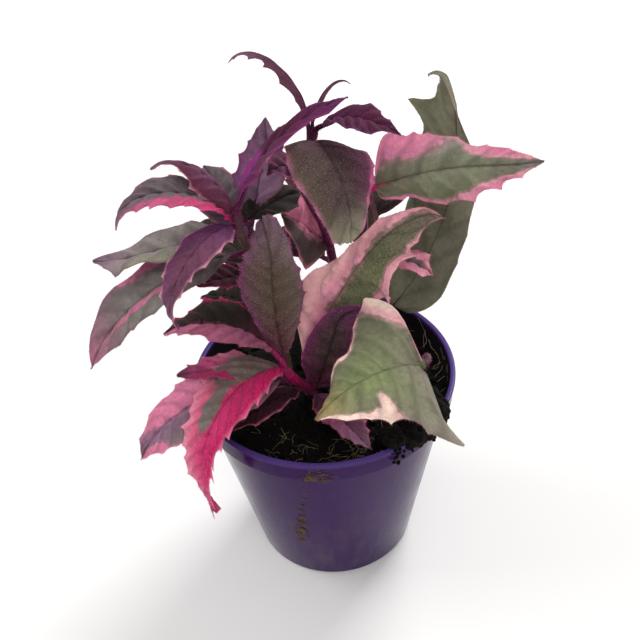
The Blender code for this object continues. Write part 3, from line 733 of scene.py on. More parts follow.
def add_blade(growth, leaf, blade, number):
    """A thin closed shell: the upper face, the underside and the rim between them."""
    rows, columns = blade.points.shape[:2]
    v = np.abs(blade.v)[..., None]
    thin = np.clip(blade.half / (THINS_UNDER * MM), 0.4, 1)[..., None]
    thickness = (BLADE_MIDDLE + (BLADE_RIM - BLADE_MIDDLE) * v**2) * thin * MM
    top = blade.points + blade.normals * thickness / 2
    bottom = blade.points - blade.normals * thickness / 2
    quads = grid_quads(rows, columns)
    index = np.arange(rows * columns).reshape(rows, columns)
    below = index + rows * columns
    strips = [
        np.stack((index[:-1, 0], index[1:, 0], below[1:, 0], below[:-1, 0]), axis=1),
        np.stack((index[:-1, -1], below[:-1, -1], below[1:, -1], index[1:, -1]), axis=1),
        np.stack((index[0, :-1], below[0, :-1], below[0, 1:], index[0, 1:]), axis=1),
        np.stack((index[-1, :-1], index[-1, 1:], below[-1, 1:], below[-1, :-1]), axis=1),
    ]
    field = flush_field(leaf.look, blade.u, blade.v)
    plain, flush = face_tints(leaf.look, blade, field)
    back = np.broadcast_to(tint(leaf.look.back), plain.shape)
    # The underside keeps some of the colour above it
    under = mixed(back, plain, 0.25)
    across, along = blade.v * blade.half / MM, blade.u * leaf.length
    place = np.stack(np.broadcast_arrays(across, along, np.float64(number * PATTERN_APART)), axis=-1)
    growth.add(
        flat((top, bottom), 3),
        np.concatenate((quads, quads[:, ::-1] + rows * columns, *strips)),
        face_tint=flat((plain, under), 4),
        flush_tint=flat((flush, mixed(flush, back, 0.2)), 4),
        leaf_place=flat((place, place), 3),
        flush=flat((field, field), 1),
        side_vein=flat((blade.vein, blade.vein), 1),
        underside=flat((np.zeros(rows * columns), np.ones(rows * columns)), 1),
        frost=leaf.look.frost,
    )


def stalk_thickness(leaf):
    """A stalk's radius where it leaves the stem, in millimetres."""
    return STALK_RADIUS + leaf.width * STALK_SHARE


def add_stalk(growth, leaf, base):
    """The stalk, running on under the blade as its midrib."""
    s = np.linspace(0, RIB_TO, RIB_STEPS)
    spine = leaf_spine(leaf, base).at(s)
    thick = stalk_thickness(leaf)
    thinning = (0, leaf.stalk, leaf.stalk + 0.15, RIB_TO)
    radii = np.interp(s, thinning, (thick, thick * 0.8, thick * 0.5, RIB_END)) * MM
    # It dips under the blade where the blade begins
    dip = np.interp(s, (leaf.stalk * 0.5, leaf.stalk, leaf.stalk + 0.08), (0, 0.5, 1))
    sunk = dip * (radii + MIDRIB_DEPTH * MM)
    line = spine.points - spine.up * sunk[:, None]
    points, quads = tube(line, radii, STALK_SIDES)
    share = np.repeat(s, STALK_SIDES)[:, None]
    share = np.concatenate((share[:STALK_SIDES], share, share[-STALK_SIDES:]))
    tints = mixed(tint(leaf.look.stalk), tint(leaf.look.back), np.clip((share - leaf.stalk) / 0.2, 0, 1))
    growth.add(points, quads, finish=1, face_tint=tints, leaf_place=points / MM)


def stem_place(shoot, at):
    """The point a share of the way up the stem's line above the soil."""
    line = smooth_line(shoot.stem, 8) * MM
    lengths = np.concatenate(([0], np.cumsum(np.linalg.norm(np.diff(line, axis=0), axis=1))))
    return np.array([np.interp(at * lengths[-1], lengths, column) for column in line.T])


def add_stem(growth, shoot):
    """The stem, a little thicker where each leaf leaves it."""
    line = smooth_line(shoot.stem, 14) * MM
    line = np.concatenate((line[:1] - np.array((0, 0, STEM_DEPTH)), line))
    share = np.linspace(0, 1, len(line))
    foot, top = (r * MM for r in shoot.radii)
    radii = foot + (top - foot) * share
    for leaf in shoot.leaves:
        radii = radii * (1 + 0.12 * np.exp(-(((share - leaf.at) / 0.03) ** 2)))
    points, quads = tube(line, radii, STEM_SIDES)
    height = np.clip((points[:, 2:] - line[0, 2]) / (line[-1, 2] - line[0, 2]), 0, 1) ** 3
    tints = mixed(tint(shoot.tints[0]), tint(shoot.tints[1]), height)
    growth.add(points, quads, finish=1, face_tint=tints, leaf_place=points / MM)
    return line, radii


class Hairs:
    """Fine tapered hairs, each a needle of three sides."""

    def __init__(self, chance):
        self.chance = chance
        self.growth = Growth()

    def add(self, roots, lean, length, width, colour):
        """Hairs from the roots in the directions that lean gives, in millimetres."""
        count = len(roots)
        lean = unit(lean + self.chance.normal(0, 0.28, (count, 3)))
        lengths = (length * self.chance.uniform(0.6, 1.2, count))[:, None] * MM
        side = unit(np.cross(lean, self.chance.normal(0, 1, (count, 3))))
        other = np.cross(lean, side)
        ring = [
            roots - lean * 0.05 * MM + (side * math.cos(a) + other * math.sin(a)) * width * MM / 2
            for a in (0, 2 * math.pi / 3, 4 * math.pi / 3)
        ]
        points = np.stack((*ring, roots + lean * lengths), axis=1).reshape(-1, 3)
        start = np.arange(count)[:, None] * 4
        faces = np.concatenate([start + np.array(corners) for corners in ((0, 1, 3), (1, 2, 3), (2, 0, 3))])
        tints = np.repeat(np.broadcast_to(colour, (count, 4)), 4, axis=0)
        self.growth.add(points, faces, face_tint=tints)


def leaf_hairs(hairs, leaf, blade):
    """A fringe along both edges and short hairs over the upper face."""
    chance = hairs.chance
    rows, columns = blade.points.shape[:2]
    fringe = int(leaf.length * FRINGE_PER_MM)
    for column, sign in ((0, -1), (columns - 1, 1)):
        place = chance.uniform(0.02, 1, fringe) * (rows - 1)
        roots = rows_at(blade.points[:, column], place / (rows - 1))
        outward = rows_at(blade.spine.right * sign + blade.spine.ahead * 0.5, place / (rows - 1))
        hairs.add(roots, outward, FRINGE_LENGTH, HAIR_WIDTH, mixed(tint("fuchsia"), tint("blush"), 0.4))
    area = leaf.length * leaf.width * BLADE_SHARE
    count = int(area * FACE_HAIRS)
    row = chance.uniform(0, rows - 1.001, count)
    column = chance.uniform(0, columns - 1.001, count)
    low_row, low_column = row.astype(int), column.astype(int)
    a, b = (row - low_row)[:, None], (column - low_column)[:, None]
    corners = blade.points[low_row, low_column], blade.points[low_row, low_column + 1]
    beyond = blade.points[low_row + 1, low_column], blade.points[low_row + 1, low_column + 1]
    roots = (corners[0] * (1 - b) + corners[1] * b) * (1 - a) + (beyond[0] * (1 - b) + beyond[1] * b) * a
    normals = blade.normals[low_row, low_column]
    colour = mixed(tint(leaf.look.face), tint("orchid"), 0.5)
    roots = roots + normals * BLADE_MIDDLE / 2 * MM
    hairs.add(roots, normals, FACE_HAIR_LENGTH, FACE_HAIR_WIDTH, colour)


def tube_hairs(hairs, line, radii):
    """Hairs that stand out all round a stem or a stalk."""
    chance = hairs.chance
    length = np.linalg.norm(np.diff(line, axis=0), axis=1).sum() / MM
    count = int(length * STEM_HAIRS_PER_MM)
    share = chance.uniform(0, 1, count)
    middle = rows_at(line, share)
    ahead = unit(rows_at(np.gradient(line, axis=0), share))
    side = unit(np.cross(ahead, chance.normal(0, 1, (count, 3))))
    reach = rows_at(np.asarray(radii)[:, None], share)
    colour = mixed(tint("fuchsia"), tint("mallow"), 0.4)
    hairs.add(middle + side * reach, side, STEM_HAIR_LENGTH, HAIR_WIDTH, colour)


def make_shoot(name, order, shoot, finishes, hair_finish):
    """One leafy stem as one piece, and its hairs as another."""
    growth = Growth()
    hairs = Hairs(np.random.default_rng(HAIR_SEED + order))
    tube_hairs(hairs, *add_stem(growth, shoot))
    for number, leaf in enumerate(shoot.leaves):
        chance = np.random.default_rng(LEAF_SEED * order + number)
        base = stem_place(shoot, leaf.at)
        blade = blade_of(leaf, base, number, chance)
        add_blade(growth, leaf, blade, number + 40 * order)
        add_stalk(growth, leaf, base)
        leaf_hairs(hairs, leaf, blade)
        stalk_line = leaf_spine(leaf, base).at(np.linspace(0, leaf.stalk + 0.05, 6)).points
        tube_hairs(hairs, stalk_line, [stalk_thickness(leaf) * MM] * len(stalk_line))
    foliage = new_piece(f"{name}_foliage", growth.mesh(f"{name}_foliage"), finishes, replaced=name)
    new_piece(f"{name}_hairs", hairs.growth.mesh(f"{name}_hairs"), [hair_finish])


def placed(name, data):
    """A new object in the scene."""
    made = bpy.data.objects.new(name, data)
    bpy.context.scene.collection.objects.link(made)
    return made


def worked_mesh(name, work):
    """A mesh of what was worked on, which is let go."""
    mesh = bpy.data.meshes.new(name)
    work.to_mesh(mesh)
    work.free()
    return mesh


def new_piece(name, mesh, finishes, replaced=None):
    """A piece in place, riding with the plant."""
    piece = placed(name, mesh)
    for finish in finishes:
        mesh.materials.append(finish)
    if replaced:
        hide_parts(replaced)
    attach(piece, "root")
    return piece


def wall_radius(height):
    """The pot's outer radius under its band."""
    top = BAND_RADIUS - BAND_STEP
    return BASE_RADIUS + (top - BASE_RADIUS) * height / POT_HEIGHT


def arc(middle, radius, start, end, steps=6):
    """Points of a round corner in a profile, with angles in degrees from outwards."""
    turns = [math.radians(start + (end - start) * k / steps) for k in range(steps + 1)]
    return [(middle[0] + radius * math.cos(t), middle[1] + radius * math.sin(t)) for t in turns]


def pot_profile():
    """Up the outside from the middle of the base, over the rolled lip and down the inside."""
    band, bead, soft = BAND_RADIUS, LIP_BEAD, SOFT_CORNER
    wall_top = wall_radius(BAND_FROM - BAND_STEP)
    return [
        (0, 0),
        *arc((BASE_RADIUS - BASE_ROUND, BASE_ROUND), BASE_ROUND, -90, -10),
        (wall_top, BAND_FROM - BAND_STEP - soft),
        *arc((band - soft, BAND_FROM + soft), soft, -60, 0, 3),
        (band, LIP_FROM - soft),
        (band + soft, LIP_FROM),
        *arc((RIM_RADIUS - soft * 2, LIP_FROM + soft * 2), soft * 2, -90, 0, 4),
        *arc((RIM_RADIUS - bead, POT_HEIGHT - bead), bead, 0, 90),
        *arc((band - WALL + bead, POT_HEIGHT - bead), bead, 90, 180),
        (band - WALL, LIP_FROM),
        (wall_radius(BAND_FROM) - WALL, BAND_FROM),
        (wall_radius(FLOOR) - WALL, FLOOR + soft),
        (wall_radius(FLOOR) - WALL - soft, FLOOR),
        (0, FLOOR),
    ]


def outer_radius(height):
    """How far out the pot's outside reaches, under the lip."""
    return BAND_RADIUS if height > BAND_FROM else wall_radius(height)


def inner_radius(height):
    """How far out the pot's inside reaches."""
    return outer_radius(height) - WALL


def make_pot(finish, inner_shade_finish):
    """The pot, turned from its profile, with drainage holes cut through its floor and painted shade inside.
    """
    work = bmesh.new()
    profile = [work.verts.new((r, 0, z)) for r, z in pot_profile()]
    edges = [work.edges.new(pair) for pair in zip(profile, profile[1:])]
    bmesh.ops.spin(
        work, geom=[*profile, *edges], cent=(0, 0, 0), axis=(0, 0, 1), angle=2 * math.pi, steps=POT_STEPS,
        use_merge=True,
    )
    bmesh.ops.remove_doubles(work, verts=work.verts, dist=0.00001)
    bmesh.ops.recalc_face_normals(work, faces=work.faces)
    pot = new_piece("nursery_pot", worked_mesh("nursery_pot", work), [finish], replaced="pot")
    work = bmesh.new()
    for k in range(DRAIN_HOLES):
        turn = 2 * math.pi * k / DRAIN_HOLES
        middle = Matrix.Translation((DRAIN_CIRCLE * math.cos(turn), DRAIN_CIRCLE * math.sin(turn), 0))
        bmesh.ops.create_cone(
            work, cap_ends=True, segments=DRAIN_STEPS, radius1=DRAIN_RADIUS, radius2=DRAIN_RADIUS,
            depth=FLOOR * 4, matrix=middle,
        )
    cutter = placed("drain_cutter", worked_mesh("drain_cutter", work))
    cut = pot.modifiers.new("drainage", "BOOLEAN")
    cut.operation = "DIFFERENCE"
    cut.object = cutter
    graph = bpy.context.evaluated_depsgraph_get()
    graph.update()
    cut_mesh = bpy.data.meshes.new_from_object(pot.evaluated_get(graph))
    pot.modifiers.clear()
    pot.data = cut_mesh
    bpy.data.objects.remove(cutter, do_unlink=True)
    cut_mesh.shade_smooth()
    cut_mesh.set_sharp_from_angle(angle=math.radians(40))
    cut_mesh.materials.append(inner_shade_finish)
    # Faces inside the wall take the painted shade
    for face in cut_mesh.polygons:
        x, y, z = face.center
        if FLOOR / 2 < z < LIP_FROM and math.hypot(x, y) < inner_radius(z) + WALL / 4:
            face.material_index = 1


def soil_height(x, y):
    """The soil's surface: the solids' low heap, with finer crumbs on it."""
    reach = math.hypot(x, y) / RIM_RADIUS
    crumbs = noise.fractal(Vector((x, y, 0)) / CRUMB_GRAIN, 0.8, 2.0, 3)
    fine = noise.fractal(Vector((x, y, 0.01)) / FINE_GRAIN, 0.9, 2.1, 4)
    heap = SOIL_HEAP * max(0.0, 1 - 1.6 * reach * reach)
    return SOIL_LEVEL + heap + SOIL_ROUGH * crumbs + SOIL_FINE * fine


def crumb(growth, middle, radius, grain, seed, fineness=3):
    """One lump of peat."""
    work = bmesh.new()
    bmesh.ops.create_icosphere(work, subdivisions=fineness, radius=radius)
    offset = Vector((seed * 7.3, seed * 3.1, 0))
    for vertex in work.verts:
        place = vertex.co / grain + offset
        vertex.co *= sum((depth * noise.noise(place * finer) for finer, depth in CRUMB_LUMPS), 1)
    points = [np.array(v.co) + middle for v in work.verts]
    faces = [[v.index for v in f.verts] for f in work.faces]
    work.free()
    growth.add(points, faces)


def make_soil(finish):
    """The heaped peat, the clump that has spilled over the rim and the loose crumbs on top."""
    growth = Growth()
    outer = wall_radius(SOIL_LEVEL) - WALL
    radii = outer * np.linspace(0, 1, SOIL_RINGS + 1) ** 0.9
    turns = np.linspace(0, 2 * math.pi, SOIL_STEPS, endpoint=False)
    rings = []
    for radius in radii:
        ring = [(radius * math.cos(t), radius * math.sin(t)) for t in turns]
        rings.append([(x, y, soil_height(x, y)) for x, y in ring])
    # The sides go down inside the pot
    bottom = wall_radius(FLOOR) - WALL - GAP
    for share in (0.5, 0.02):
        radius = bottom + (outer - bottom) * share
        height = FLOOR + (SOIL_LEVEL - FLOOR) * share
        rings.append([(radius * math.cos(t), radius * math.sin(t), height) for t in turns])
    rings.append([(0, 0, FLOOR + 0.0005)] * SOIL_STEPS)
    growth.add(np.array(rings), grid_quads(len(rings), SOIL_STEPS, closed=True))
    for k in range(SPILL_CRUMBS):
        along = k / (SPILL_CRUMBS - 1)
        turn = math.radians(SPILL_FROM + (SPILL_TO - SPILL_FROM) * along)
        size = CRUMB_RADIUS * (0.85 + 0.3 * math.sin(math.pi * along))
        reach = RIM_RADIUS - SPILL_INSET + SPILL_BULGE * math.sin(math.pi * along) + SPILL_STAGGER * (k % 2)
        for row, (inwards, down) in enumerate(SPILL_SLOPE):
            out = reach - inwards
            middle = np.array((math.cos(turn) * out, math.sin(turn) * out, POT_HEIGHT - CRUMB_SINK - down))
            crumb(growth, middle, size, CLUMP_GRAIN, k + row * 9, fineness=4)
    chance = np.random.default_rng(SOIL_SEED)
    for k in range(LOOSE_CRUMBS):
        turn = chance.uniform(0, 2 * math.pi)
        reach = outer * math.sqrt(chance.uniform(0, 0.94))
        x, y = reach * math.cos(turn), reach * math.sin(turn)
        size = chance.uniform(0.0006, 0.0021)
        middle = np.array((x, y, soil_height(x, y) + size * 0.2))
        crumb(growth, middle, size, size * 1.1, k + 20, fineness=2)
    # Small crumbs lie round the clump and hang on the outside of the rim below it
    for k in range(SPILL_BITS):
        turn = math.radians(chance.uniform(SPILL_FROM - 7, SPILL_TO - 2))
        out = chance.uniform(-0.009, 0.0060)
        size = chance.uniform(0.0006, 0.0018) if out < 0 else chance.uniform(0.0003, 0.0009)
        down = chance.exponential(0.0018) if out > 0 else -chance.uniform(0, 0.0025)
        reach = RIM_RADIUS + min(out, 0.0002)
        middle = np.array((reach * math.cos(turn), reach * math.sin(turn), POT_HEIGHT - down))
        crumb(growth, middle, size, size * 1.1, k + 300, fineness=2)
    soil = new_piece("peat_soil", growth.mesh("peat_soil", sharp=180), [finish], replaced="soil")


def wandering_line(start, heading, length, chance, bend=0.5, climb=0.0, steps=12):
    """A short root's line: it wanders as it goes, and keeps to its height but for climb."""
    line = [np.asarray(start, float)]
    for _ in range(steps):
        heading += chance.normal(0, bend)
        step = np.array((math.cos(heading), math.sin(heading), climb + chance.normal(0, 0.15)))
        line.append(line[-1] + step * length / steps)
    return np.array(line)


def drawn_in(line, most):
    """The line, with what lies further from the pot's axis than that drawn in to it."""
    inside = np.minimum(1, most / np.maximum(np.hypot(line[:, 0], line[:, 1]), 1e-6))
    return np.column_stack((line[:, :2] * inside[:, None], line[:, 2]))


def add_fibre(growth, line, end_radius, colour):
    """A thin root or fibre along the line, which thins towards its end."""
    points, quads = tube(line, np.linspace(FIBRE_RADIUS, end_radius, len(line)) * MM, FIBRE_SIDES)
    growth.add(points, quads, face_tint=colour)


def make_rootlets(finish):
    """Thin pale rootlets: most lie on the soil at the front, and some stand up at the right."""
    growth = Growth()
    chance = np.random.default_rng(ROOT_SEED)
    for _ in range(LYING_ROOTS):
        turn = math.radians(chance.normal(-75, 32))
        reach = 0.045 * math.sqrt(chance.uniform(0.45, 1))
        x, y = reach * math.cos(turn), reach * math.sin(turn)
        length = chance.uniform(0.003, 0.010)
        line = wandering_line((x, y, 0), chance.uniform(0, 2 * math.pi), length, chance, bend=0.3)
        line = drawn_in(line, LYING_REACH)
        line[:, 2] += [soil_height(p[0], p[1]) + 0.0006 for p in line]
        add_fibre(growth, line, ROOT_END, tint("flax") * chance.uniform(0.3, 1.1))
    for _ in range(STANDING_ROOTS):
        turn = math.radians(chance.uniform(-22, 42))
        x, y = 0.043 * math.cos(turn), 0.043 * math.sin(turn)
        start = (x, y, soil_height(x, y))
        heading = turn + chance.normal(0, 0.9)
        line = wandering_line(start, heading, chance.uniform(0.007, 0.013), chance, bend=0.35, climb=0.7)
        line = drawn_in(line, STANDING_REACH)
        add_fibre(growth, line, ROOT_END, tint("flax") * chance.uniform(0.6, 1.3))
    new_piece("rootlets", growth.mesh("rootlets"), [finish])


def on_wall(turn, height, proud):
    """A point on the pot's outside, at an angle in degrees, standing proud by that much."""
    radius = outer_radius(height) + proud
    turn = math.radians(turn)
    return np.array((radius * math.cos(turn), radius * math.sin(turn), height))


# Where wet peat has run down the front of the pot: (angle, height, spread, strands), in degrees and metres
RUN_DOWN = (
    (-96, 0.0775, 0.0034, 60),
    (-99, 0.0750, 0.0016, 14),
    (-102, 0.0705, 0.0010, 6),
    (-103.5, 0.0665, 0.0010, 5),
    (-104.5, 0.0625, 0.0010, 7),
    (-105.5, 0.0585, 0.0010, 5),
    (-106.5, 0.0545, 0.0010, 7),
    (-107.5, 0.0500, 0.0011, 8),
    (-108.5, 0.0450, 0.0015, 22),
    (-109.5, 0.0400, 0.0018, 34),
    (-110.5, 0.0350, 0.0020, 44),
    (-111.5, 0.0300, 0.0019, 34),
    (-112.5, 0.0255, 0.0016, 12),
)


def make_dried_peat(finish):
    """Curly strands of dried peat stuck to the front of the pot."""
    growth = Growth()
    chance = np.random.default_rng(PEAT_SEED)
    for turn, height, spread, strands in RUN_DOWN:
        for _ in range(strands):
            line = []
            here = np.array((chance.normal(0, spread * 0.55), chance.normal(0, spread * 0.5)))
            heading = chance.uniform(0, 2 * math.pi)
            for _ in range(PEAT_FIBRE_STEPS):
                heading += chance.normal(0, 0.7)
                here = here + np.array((math.cos(heading), math.sin(heading))) * spread * 0.13
                degrees = turn + math.degrees(here[0] / 0.045)
                line.append(on_wall(degrees, min(height + here[1], LIP_FROM - 0.0002), 0.00015))
            add_fibre(growth, np.array(line), PEAT_FIBRE_END, tint("chaff") * chance.uniform(0.3, 1.4))
    new_piece("dried_peat", growth.mesh("dried_peat"), [finish])


def feed(tree, node, inputs):
    """Sets a node's inputs. Each value is a number or colour, or a node or socket to link from."""
    for name, value in inputs.items():
        if isinstance(value, bpy.types.Node):
            value = value.outputs[0]
        if isinstance(value, bpy.types.NodeSocket):
            tree.links.new(value, node.inputs[name])
        else:
            node.inputs[name].default_value = value


def add(tree, kind, inputs=None, **settings):
    """A new node with its settings and what feeds it."""
    made = tree.nodes.new(kind)
    for name, value in settings.items():
        setattr(made, name, value)
    feed(tree, made, inputs or {})
    return made


def new_material(name):
    made = bpy.data.materials.new(name)
    made.use_nodes = True
    return made, made.node_tree, made.node_tree.nodes["Principled BSDF"]


def velvet_leaf():
    """A leaf's soft skin under violet hairs: matt, swollen between veins, frosted where hairs shine."""
    material, tree, shader = new_material("velvet_leaf")
    place = add(tree, "ShaderNodeAttribute", attribute_name="leaf_place").outputs["Vector"]
    flush = add(tree, "ShaderNodeAttribute", attribute_name="flush").outputs["Fac"]
    under = add(tree, "ShaderNodeAttribute", attribute_name="underside").outputs["Fac"]
    frost = add(tree, "ShaderNodeAttribute", attribute_name="frost").outputs["Fac"]
    passed = add(tree, "ShaderNodeAttribute", attribute_name="side_vein").outputs["Fac"]
    face_tint = add(tree, "ShaderNodeAttribute", attribute_name="face_tint").outputs["Color"]
    flush_tint = add(tree, "ShaderNodeAttribute", attribute_name="flush_tint").outputs["Color"]
    # Pigment patches some 12 mm across, and their ragged edges at 2.5 mm
    broad = add(tree, "ShaderNodeTexNoise", {"Vector": place, "Scale": 1 / 12, "Detail": 2})
    ragged = add(tree, "ShaderNodeTexNoise", {"Vector": place, "Scale": 1 / 2.5, "Detail": 4})
    shift = add(tree, "ShaderNodeMath", {0: broad, 1: 0.5, 2: flush}, operation="MULTIPLY_ADD")
    shifted = add(tree, "ShaderNodeMath", {0: ragged, 1: 0.45, 2: shift}, operation="MULTIPLY_ADD")
    field = add(tree, "ShaderNodeMath", {0: shifted, 1: -0.475}, operation="ADD")
    patch = add(tree, "ShaderNodeMapRange", {0: field, 1: -0.05, 2: 0.06}, interpolation_type="SMOOTHSTEP")
    halo = add(
        tree, "ShaderNodeMapRange", {0: field, 1: -0.3, 2: -0.1, 4: 0.3}, interpolation_type="SMOOTHSTEP"
    )
    plain = add(tree, "ShaderNodeMix", {0: halo, 6: face_tint, 7: flush_tint}, data_type="RGBA")
    skin = add(tree, "ShaderNodeMix", {0: patch, 6: plain.outputs[2], 7: flush_tint}, data_type="RGBA")
    mottle = add(tree, "ShaderNodeMapRange", {0: broad, 1: 0.3, 2: 0.7, 3: 0.84, 4: 1.14})
    blotch = add(tree, "ShaderNodeMapRange", {0: ragged, 1: 0.3, 2: 0.7, 3: 0.88, 4: 1.12})
    # Side veins run to the teeth, over a fine net at 2 mm. The skin between them is painted paler where it
    # swells
    wander = add(tree, "ShaderNodeMath", {0: broad, 1: 0.7, 2: passed}, operation="MULTIPLY_ADD")
    wobble = add(tree, "ShaderNodeMath", {0: ragged, 1: 0.25, 2: wander}, operation="MULTIPLY_ADD")
    beside = add(tree, "ShaderNodeMath", {0: wobble, 1: 1.0}, operation="PINGPONG")
    half_turn = add(tree, "ShaderNodeMath", {0: beside, 1: 0.5}, operation="PINGPONG")
    # Painted light on the swells between the veins
    swell_painted_light = add(
        tree, "ShaderNodeMapRange", {0: half_turn, 1: 0.0, 2: 0.32, 3: 0.85, 4: 1.1},
        interpolation_type="SMOOTHSTEP",
    )
    vein_line = add(tree, "ShaderNodeMapRange", {0: half_turn, 1: 0.0, 2: 0.06, 3: 1.0, 4: 0.0})
    vein_strength = add(tree, "ShaderNodeMapRange", {0: broad, 1: 0.35, 2: 0.65, 3: 0.1, 4: 0.6})
    # Leaves with much frost also show their veins more
    clearer = add(tree, "ShaderNodeMapRange", {0: frost, 3: 0.6, 4: 1.5})
    seen = add(tree, "ShaderNodeMath", {0: vein_strength, 1: clearer}, operation="MULTIPLY")
    side_vein = add(tree, "ShaderNodeMath", {0: vein_line, 1: seen}, operation="MULTIPLY")
    across = add(tree, "ShaderNodeSeparateXYZ", {0: place})
    distance = add(tree, "ShaderNodeMath", {0: across}, operation="ABSOLUTE")
    midrib = add(tree, "ShaderNodeMapRange", {0: distance, 1: 0.2, 2: 0.75, 3: 0.9, 4: 0.0})
    net_cells = add(
        tree, "ShaderNodeTexVoronoi", {"Vector": place, "Scale": 1 / 2.0}, feature="DISTANCE_TO_EDGE"
    )
    net = add(tree, "ShaderNodeMapRange", {0: net_cells, 1: 0.0, 2: 0.16, 3: 0.3, 4: 0.0})
    veins = add(tree, "ShaderNodeMath", {0: side_vein, 1: midrib}, operation="MAXIMUM")
    all_veins = add(tree, "ShaderNodeMath", {0: veins, 1: net}, operation="MAXIMUM")
    # Veins darker on the upper face, partly their own colour and partly painted shade in their grooves,
    # paler beneath
    vein_shade = add(tree, "ShaderNodeMapRange", {0: under, 3: -0.36, 4: 0.3})
    vein_tone = add(
        tree, "ShaderNodeMath", {0: all_veins, 1: vein_shade, 2: 1.0}, operation="MULTIPLY_ADD"
    )
    tone = add(tree, "ShaderNodeMath", {0: mottle, 1: blotch}, operation="MULTIPLY")
    tone = add(tree, "ShaderNodeMath", {0: tone, 1: swell_painted_light}, operation="MULTIPLY")
    tone = add(tree, "ShaderNodeMath", {0: tone, 1: vein_tone}, operation="MULTIPLY")
    toned = add(tree, "ShaderNodeVectorMath", {0: skin.outputs[2], "Scale": tone}, operation="SCALE")
    # Single hairs are too fine to show, at perhaps 0.1 mm apart, so they are drawn as sparks of 0.4 mm
    hair_noise = add(tree, "ShaderNodeTexNoise", {"Vector": place, "Scale": 1 / 0.4, "Detail": 2})
    sparks = add(tree, "ShaderNodeMapRange", {0: hair_noise, 1: 0.52, 2: 0.72, 3: 0.0, 4: 0.42})
    frosted = add(tree, "ShaderNodeMath", {0: sparks, 1: frost}, operation="MULTIPLY")
    colour = add(tree, "ShaderNodeMix", {0: frosted, 6: toned, 7: linear("#CDBDB2")}, data_type="RGBA")
    rough = add(tree, "ShaderNodeMapRange", {0: hair_noise, 1: 0.3, 2: 0.7, 3: 0.5, 4: 0.72})
    ridge = add(tree, "ShaderNodeMath", {0: all_veins, 1: -0.5, 2: 0.5}, operation="MULTIPLY_ADD")
    relief = add(tree, "ShaderNodeMath", {0: hair_noise, 1: 0.5, 2: ridge}, operation="MULTIPLY_ADD")
    bump = add(tree, "ShaderNodeBump", {"Strength": 0.8, "Distance": 0.0004, "Height": relief})
    feed(tree, shader, {
        "Base Color": colour.outputs[2],
        "Roughness": rough,
        "Normal": bump,
        "Specular IOR Level": 0.12,
        "IOR": 1.42,
        "Sheen Weight": 0.03,
        "Sheen Roughness": 0.35,
        "Sheen Tint": linear("#C98AC0"),
    })
    return material


def hairy_stem():
    """A fleshy stem's skin with long ribs and a down of hairs: dull, dark red to green."""
    material, tree, shader = new_material("hairy_stem")
    place = add(tree, "ShaderNodeAttribute", attribute_name="leaf_place").outputs["Vector"]
    stem_tint = add(tree, "ShaderNodeAttribute", attribute_name="face_tint").outputs["Color"]
    # Ribs 0.6 mm apart that run along the stem
    long_grain = add(
        tree, "ShaderNodeVectorMath", {0: place, 1: (1 / 0.6, 1 / 0.6, 1 / 7)}, operation="MULTIPLY"
    )
    ribs = add(tree, "ShaderNodeTexNoise", {"Vector": long_grain, "Scale": 1.0, "Detail": 2})
    tone = add(tree, "ShaderNodeMapRange", {0: ribs, 1: 0.3, 2: 0.7, 3: 0.7, 4: 1.3})
    toned = add(tree, "ShaderNodeVectorMath", {0: stem_tint, "Scale": tone}, operation="SCALE")
    speck_noise = add(tree, "ShaderNodeTexNoise", {"Vector": place, "Scale": 1 / 0.5, "Detail": 1})
    specks = add(tree, "ShaderNodeMapRange", {0: speck_noise, 1: 0.56, 2: 0.7, 3: 0.0, 4: 0.22})
    colour = add(tree, "ShaderNodeMix", {0: specks, 6: toned, 7: linear("#C878A8")}, data_type="RGBA")
    rough = add(tree, "ShaderNodeMapRange", {0: speck_noise, 1: 0.3, 2: 0.7, 3: 0.42, 4: 0.62})
    bump = add(tree, "ShaderNodeBump", {"Strength": 0.6, "Distance": 0.0003, "Height": ribs})
    feed(tree, shader, {
        "Base Color": colour.outputs[2],
        "Roughness": rough,
        "Normal": bump,
        "Specular IOR Level": 0.2,
        "IOR": 1.42,
        "Sheen Weight": 0.03,
        "Sheen Tint": linear("#D7A6CE"),
    })
    return material


def plant_hair():
    """Clear violet plant hairs, pale where the light takes them."""
    material, tree, shader = new_material("plant_hair")
    hair_tint = add(tree, "ShaderNodeAttribute", attribute_name="face_tint").outputs["Color"]
    coordinates = add(tree, "ShaderNodeTexCoord").outputs["Object"]
    patches = add(tree, "ShaderNodeTexNoise", {"Vector": coordinates, "Scale": 1 / 0.004, "Detail": 1})
    tone = add(tree, "ShaderNodeMapRange", {0: patches, 1: 0.3, 2: 0.7, 3: 0.75, 4: 1.2})
    toned = add(tree, "ShaderNodeVectorMath", {0: hair_tint, "Scale": tone}, operation="SCALE")
    rough = add(tree, "ShaderNodeMapRange", {0: patches, 1: 0.3, 2: 0.7, 3: 0.35, 4: 0.5})
    feed(tree, shader, {"Base Color": toned, "Roughness": rough, "IOR": 1.45})
    return material


